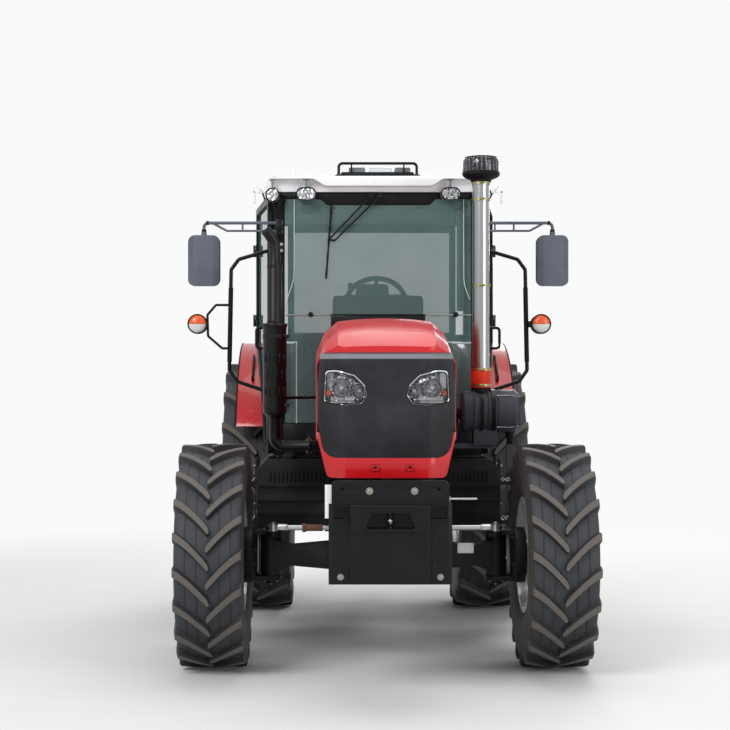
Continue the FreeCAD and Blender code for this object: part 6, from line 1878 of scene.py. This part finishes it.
def makeUnderside():
    shaft = [rod((0, -0.923, 0.64), (0, -0.4, 0.655), 0.034, 32)]
    shaft.append(lathe([(0, 0.034), (0, 0.048), (0.016, 0.048), (0.016, 0.034), (0, 0.034)], (0, -0.9, 0.64),
        "Y", 32))
    shaft.append(lathe([(0, 0.034), (0, 0.052), (0.018, 0.052), (0.018, 0.034), (0, 0.034)],
        (0, -0.44, 0.654), "Y", 32))
    place(shaft, "drive_shaft_cover", "chassisPaint")
    seams = []
    for y, half in ((-0.424, 0.232), (0.6935, 0.224)):
        for x in (-1, 1):
            for z in (0.7, 0.8, 0.9, 1.0, 1.1):
                seams.append(bolt((x * half, y - 0.012, z), (x, 0, 0), 0.016))
    place(seams, "housing_bolts", "boltSteel")
    flanges = []
    for turn in range(12):
        angle = math.radians(15 + 30 * turn)
        spot = (0.6995, 1.22 + 0.116 * math.cos(angle), 0.8775 + 0.116 * math.sin(angle))
        flanges.append(bolt(spot, (-1, 0, 0), 0.018))
        near = (0.236, 1.22 + 0.163 * math.cos(angle), 0.8775 + 0.163 * math.sin(angle))
        flanges.append(bolt(near, (1, 0, 0), 0.018))
    placeBoth(flanges, "trumpet_bolts", "boltSteel")
    collar = lathe([(0, 0.14), (0, 0.186), (0.016, 0.186), (0.016, 0.14), (0, 0.14)], (0.22, 1.22, 0.8775),
        "X", 56)
    placeBoth(collar, "trumpet_flange", "grayPaint")
    brake = [pipe([(0.24, 0.5, 0.98), (0.24, 0.9, 0.99), (0.3, 1.12, 1.0), (0.42, 1.16, 0.99)], 0.0055, False,
        0.06, 2)]
    placeBoth(brake, "brake_line", "rodSteel")
    mounts = [lathe([(0, 0), (0, 0.05), (0.016, 0.056), (0.034, 0.05), (0.034, 0)], (0.16, y, 1.096), "Z", 32)
        for y in (0.92, 1.32)]
    placeBoth(mounts, "cab_mounts", "sealRubber")
    front = [block((0.215, -0.25, 1.04), (0.33, -0.19, 1.128), 0.008),
        lathe([(0, 0), (0, 0.038), (0.012, 0.042), (0.026, 0.038), (0.026, 0)], (0.27, -0.12, 1.103), "Z",
        32)]
    placeBoth(front, "front_cab_mounts", "chassisPaint")
    drains = [bolt((0, y, z), (0, 0, -1), 0.026) for y, z in ((-0.65, 0.7005), (-0.2, 0.6105), (0.4, 0.5605),
        (1.1, 0.5405))]
    place(drains, "drain_plugs", "boltSteel")
    ribs = []
    for y in (-0.06, 0.12, 0.3, 0.48):
        ribs.append(block((0.198, y - 0.006, 0.64), (0.212, y + 0.006, 0.99), 0.004))
    placeBoth(ribs, "gearbox_ribs", "grayPaint")


makeUnderside()
print("underside ready")


# Rear hitch: couplers, ball sleeves, screw collars, shaft guard, splines and drawbar pin

hitch = {"pivotY": 1.28, "pivotZ": 0.56, "ballX": 0.42, "ballY": 2.248, "rodX": 0.405, "tipY": 1.712,
         "liftZ": 1.23}


def makeHitch():
    x, y, z = hitch["ballX"], hitch["ballY"], hitch["pivotZ"]
    sleeve = lathe([(-0.03, 0.0145), (-0.03, 0.02), (-0.024, 0.026), (0, 0.0285), (0.024, 0.026),
        (0.03, 0.02), (0.03, 0.0145), (-0.03, 0.0145)], (x, y, z), "X", 36)
    placeBoth(sleeve, "link_ball", "rodSteel", bodies="lower_links")
    pins = [rod((x + 0.004, y - 0.11, z + 0.031), (x + 0.004, y - 0.11, z + 0.052), 0.008, 16)]
    pins.append(ring((x + 0.004, y - 0.11, z + 0.06), (1, 0, 0), 0.013, 0.0028, 24, 8))
    placeBoth(pins, "link_latch", "boltSteel", bodies="lower_links")
    nuts = [bolt((0.354, hitch["pivotY"], z), (1, 0, 0), 0.026)]
    placeBoth(nuts, "link_pin_nut", "boltSteel")
    # turnbuckle sleeve and thread rings on each lift rod
    turn = []
    rx, ry = hitch["rodX"], hitch["tipY"]
    turn.append(rod((rx, ry, 0.78), (rx, ry, 1.0), 0.0235, 28, None, 0.004))
    for number in range(9):
        turn.append(ring((rx, ry, 1.015 + number * 0.011), (0, 0, 1), 0.0152, 0.0026, 24, 6))
    turn.append(pipe([(rx, ry + 0.022, 0.86), (rx + 0.016, ry + 0.075, 0.86), (rx + 0.016, ry + 0.11, 0.872)],
        0.006, False, 0.02, 2))
    turn.append(bolt((rx + 0.02, ry, hitch["liftZ"]), (1, 0, 0), 0.022))
    placeBoth(turn, "lift_screw", "rodSteel", bodies="lift_rods")
    washers = [bolt((0.3855, 1.442, hitch["liftZ"]), (1, 0, 0), 0.03)]
    placeBoth(washers, "lift_arm_nut", "boltSteel", bodies="lift_arms")
    # couplers in two rows beside the top link's bracket, with their caps
    bodies = []
    caps = []
    for side in (1, -1):
        for row in range(2):
            for column in range(2):
                spot = (side * (0.088 + column * 0.042), 1.4795, 1.0 + row * 0.056)
                bodies.append(rod(spot, (spot[0], 1.512, spot[2]), 0.0165, 6, None, 0.002))
                bodies.append(rod((spot[0], 1.51, spot[2]), (spot[0], 1.524, spot[2]), 0.0145, 24, None,
                    0.001))
                caps.append(rod((spot[0], 1.522, spot[2]), (spot[0], 1.538, spot[2]), 0.0175, 24, None,
                    0.004))
    plateBody = [block((side * 0.066, 1.476, 0.966), (side * 0.156, 1.483, 1.09), 0.004) for side in (1, -1)]
    place(bodies + plateBody, "couplers", "rodSteel")
    place(caps, "coupler_caps", "orangeHose")
    guard = [block((-0.105, 1.478, 0.762), (0.105, 1.59, 0.77), 0.003),
        block((-0.109, 1.478, 0.64), (-0.102, 1.59, 0.77), 0.003),
        block((0.102, 1.478, 0.64), (0.109, 1.59, 0.77), 0.003)]
    place(guard, "shaft_guard", "blackPaint")
    teeth = block((0.0165, 1.5, 0.6585), (0.0192, 1.566, 0.6615), 0)
    copiesRound(teeth, 6, (0, 1.53, 0.66), (0, 1, 0))
    collar = lathe([(0, 0), (0, 0.044), (0.01, 0.048), (0.016, 0.03), (0.016, 0)], (0, 1.4805, 0.66), "Y", 36)
    place(teeth, "shaft_splines", "rodSteel", body="pto_shaft")
    place(collar, "shaft_collar", "boltSteel")
    rear = [bolt((px, 1.4805, pz), (0, 1, 0), 0.018) for px in (-0.18, 0.18)
        for pz in (0.6, 0.74, 0.88, 1.02)]
    rear += [bolt((px, 1.4805, pz), (0, 1, 0), 0.014) for px in (-0.07, 0.07) for pz in (0.59, 0.73)]
    rear += [bolt((px, 1.481, pz), (0, 1, 0), 0.016) for px in (-0.125, 0.125) for pz in (1.125, 1.255)]
    place(rear, "housing_rear_bolts", "boltSteel")
    pinHead = [lathe([(0, 0), (0, 0.0155), (0.038, 0.0155), (0.038, 0.026), (0.046, 0.026), (0.048, 0)],
        (0, 1.795, 0.398), "Z", 28), ring((0, 1.795, 0.462), (1, 0, 0), 0.018, 0.0035)]
    place(pinHead, "drawbar_pin_head", "rodSteel")
    straps = [bolt((px, 1.39, pz), (0, 1, 0), 0.016) for px in (-0.066, 0.066) for pz in (0.46, 0.5)]
    place(straps, "drawbar_bolts", "boltSteel")
    plateLamp = [block((0.64, 2.046, 1.442), (0.8, 2.082, 1.468), 0.006)]
    socket = [lathe([(0, 0), (0, 0.03), (0.02, 0.03), (0.026, 0.034), (0.034, 0.034), (0.034, 0)],
        (0, 1.37, 1.93), "Y", 28)]
    place(socket, "trailer_socket", "blackPlastic")
    swivels = [rod((-0.024, 1.528, 0.96), (-0.052, 1.528, 0.96), 0.015, 6, None, 0.002),
        rod((0.024, 1.528, 0.96), (0.052, 1.528, 0.96), 0.015, 6, None, 0.002)]
    place(swivels, "top_link_bolt", "boltSteel")
    # handle and gasket of the rear window
    handle = [pipe([(-0.05, 1.434, 2.0), (-0.05, 1.466, 2.0), (0.05, 1.466, 2.0), (0.05, 1.434, 2.0)], 0.008,
        False, 0.012, 3)]
    place(handle, "rear_window_handle", "blackPlastic", body="rear_window")
    gasket = [pipe([(-0.578, 1.4325, 1.977), (0.578, 1.4325, 1.977), (0.578, 1.4325, 2.725),
        (-0.578, 1.4325, 2.725)], 0.005, True, 0.02, 2)]
    place(gasket, "rear_gasket", "sealRubber", body="rear_window")
    place(plateLamp, "plate_holder_left", "blackPlastic")


makeHitch()
print("rear hitch ready")
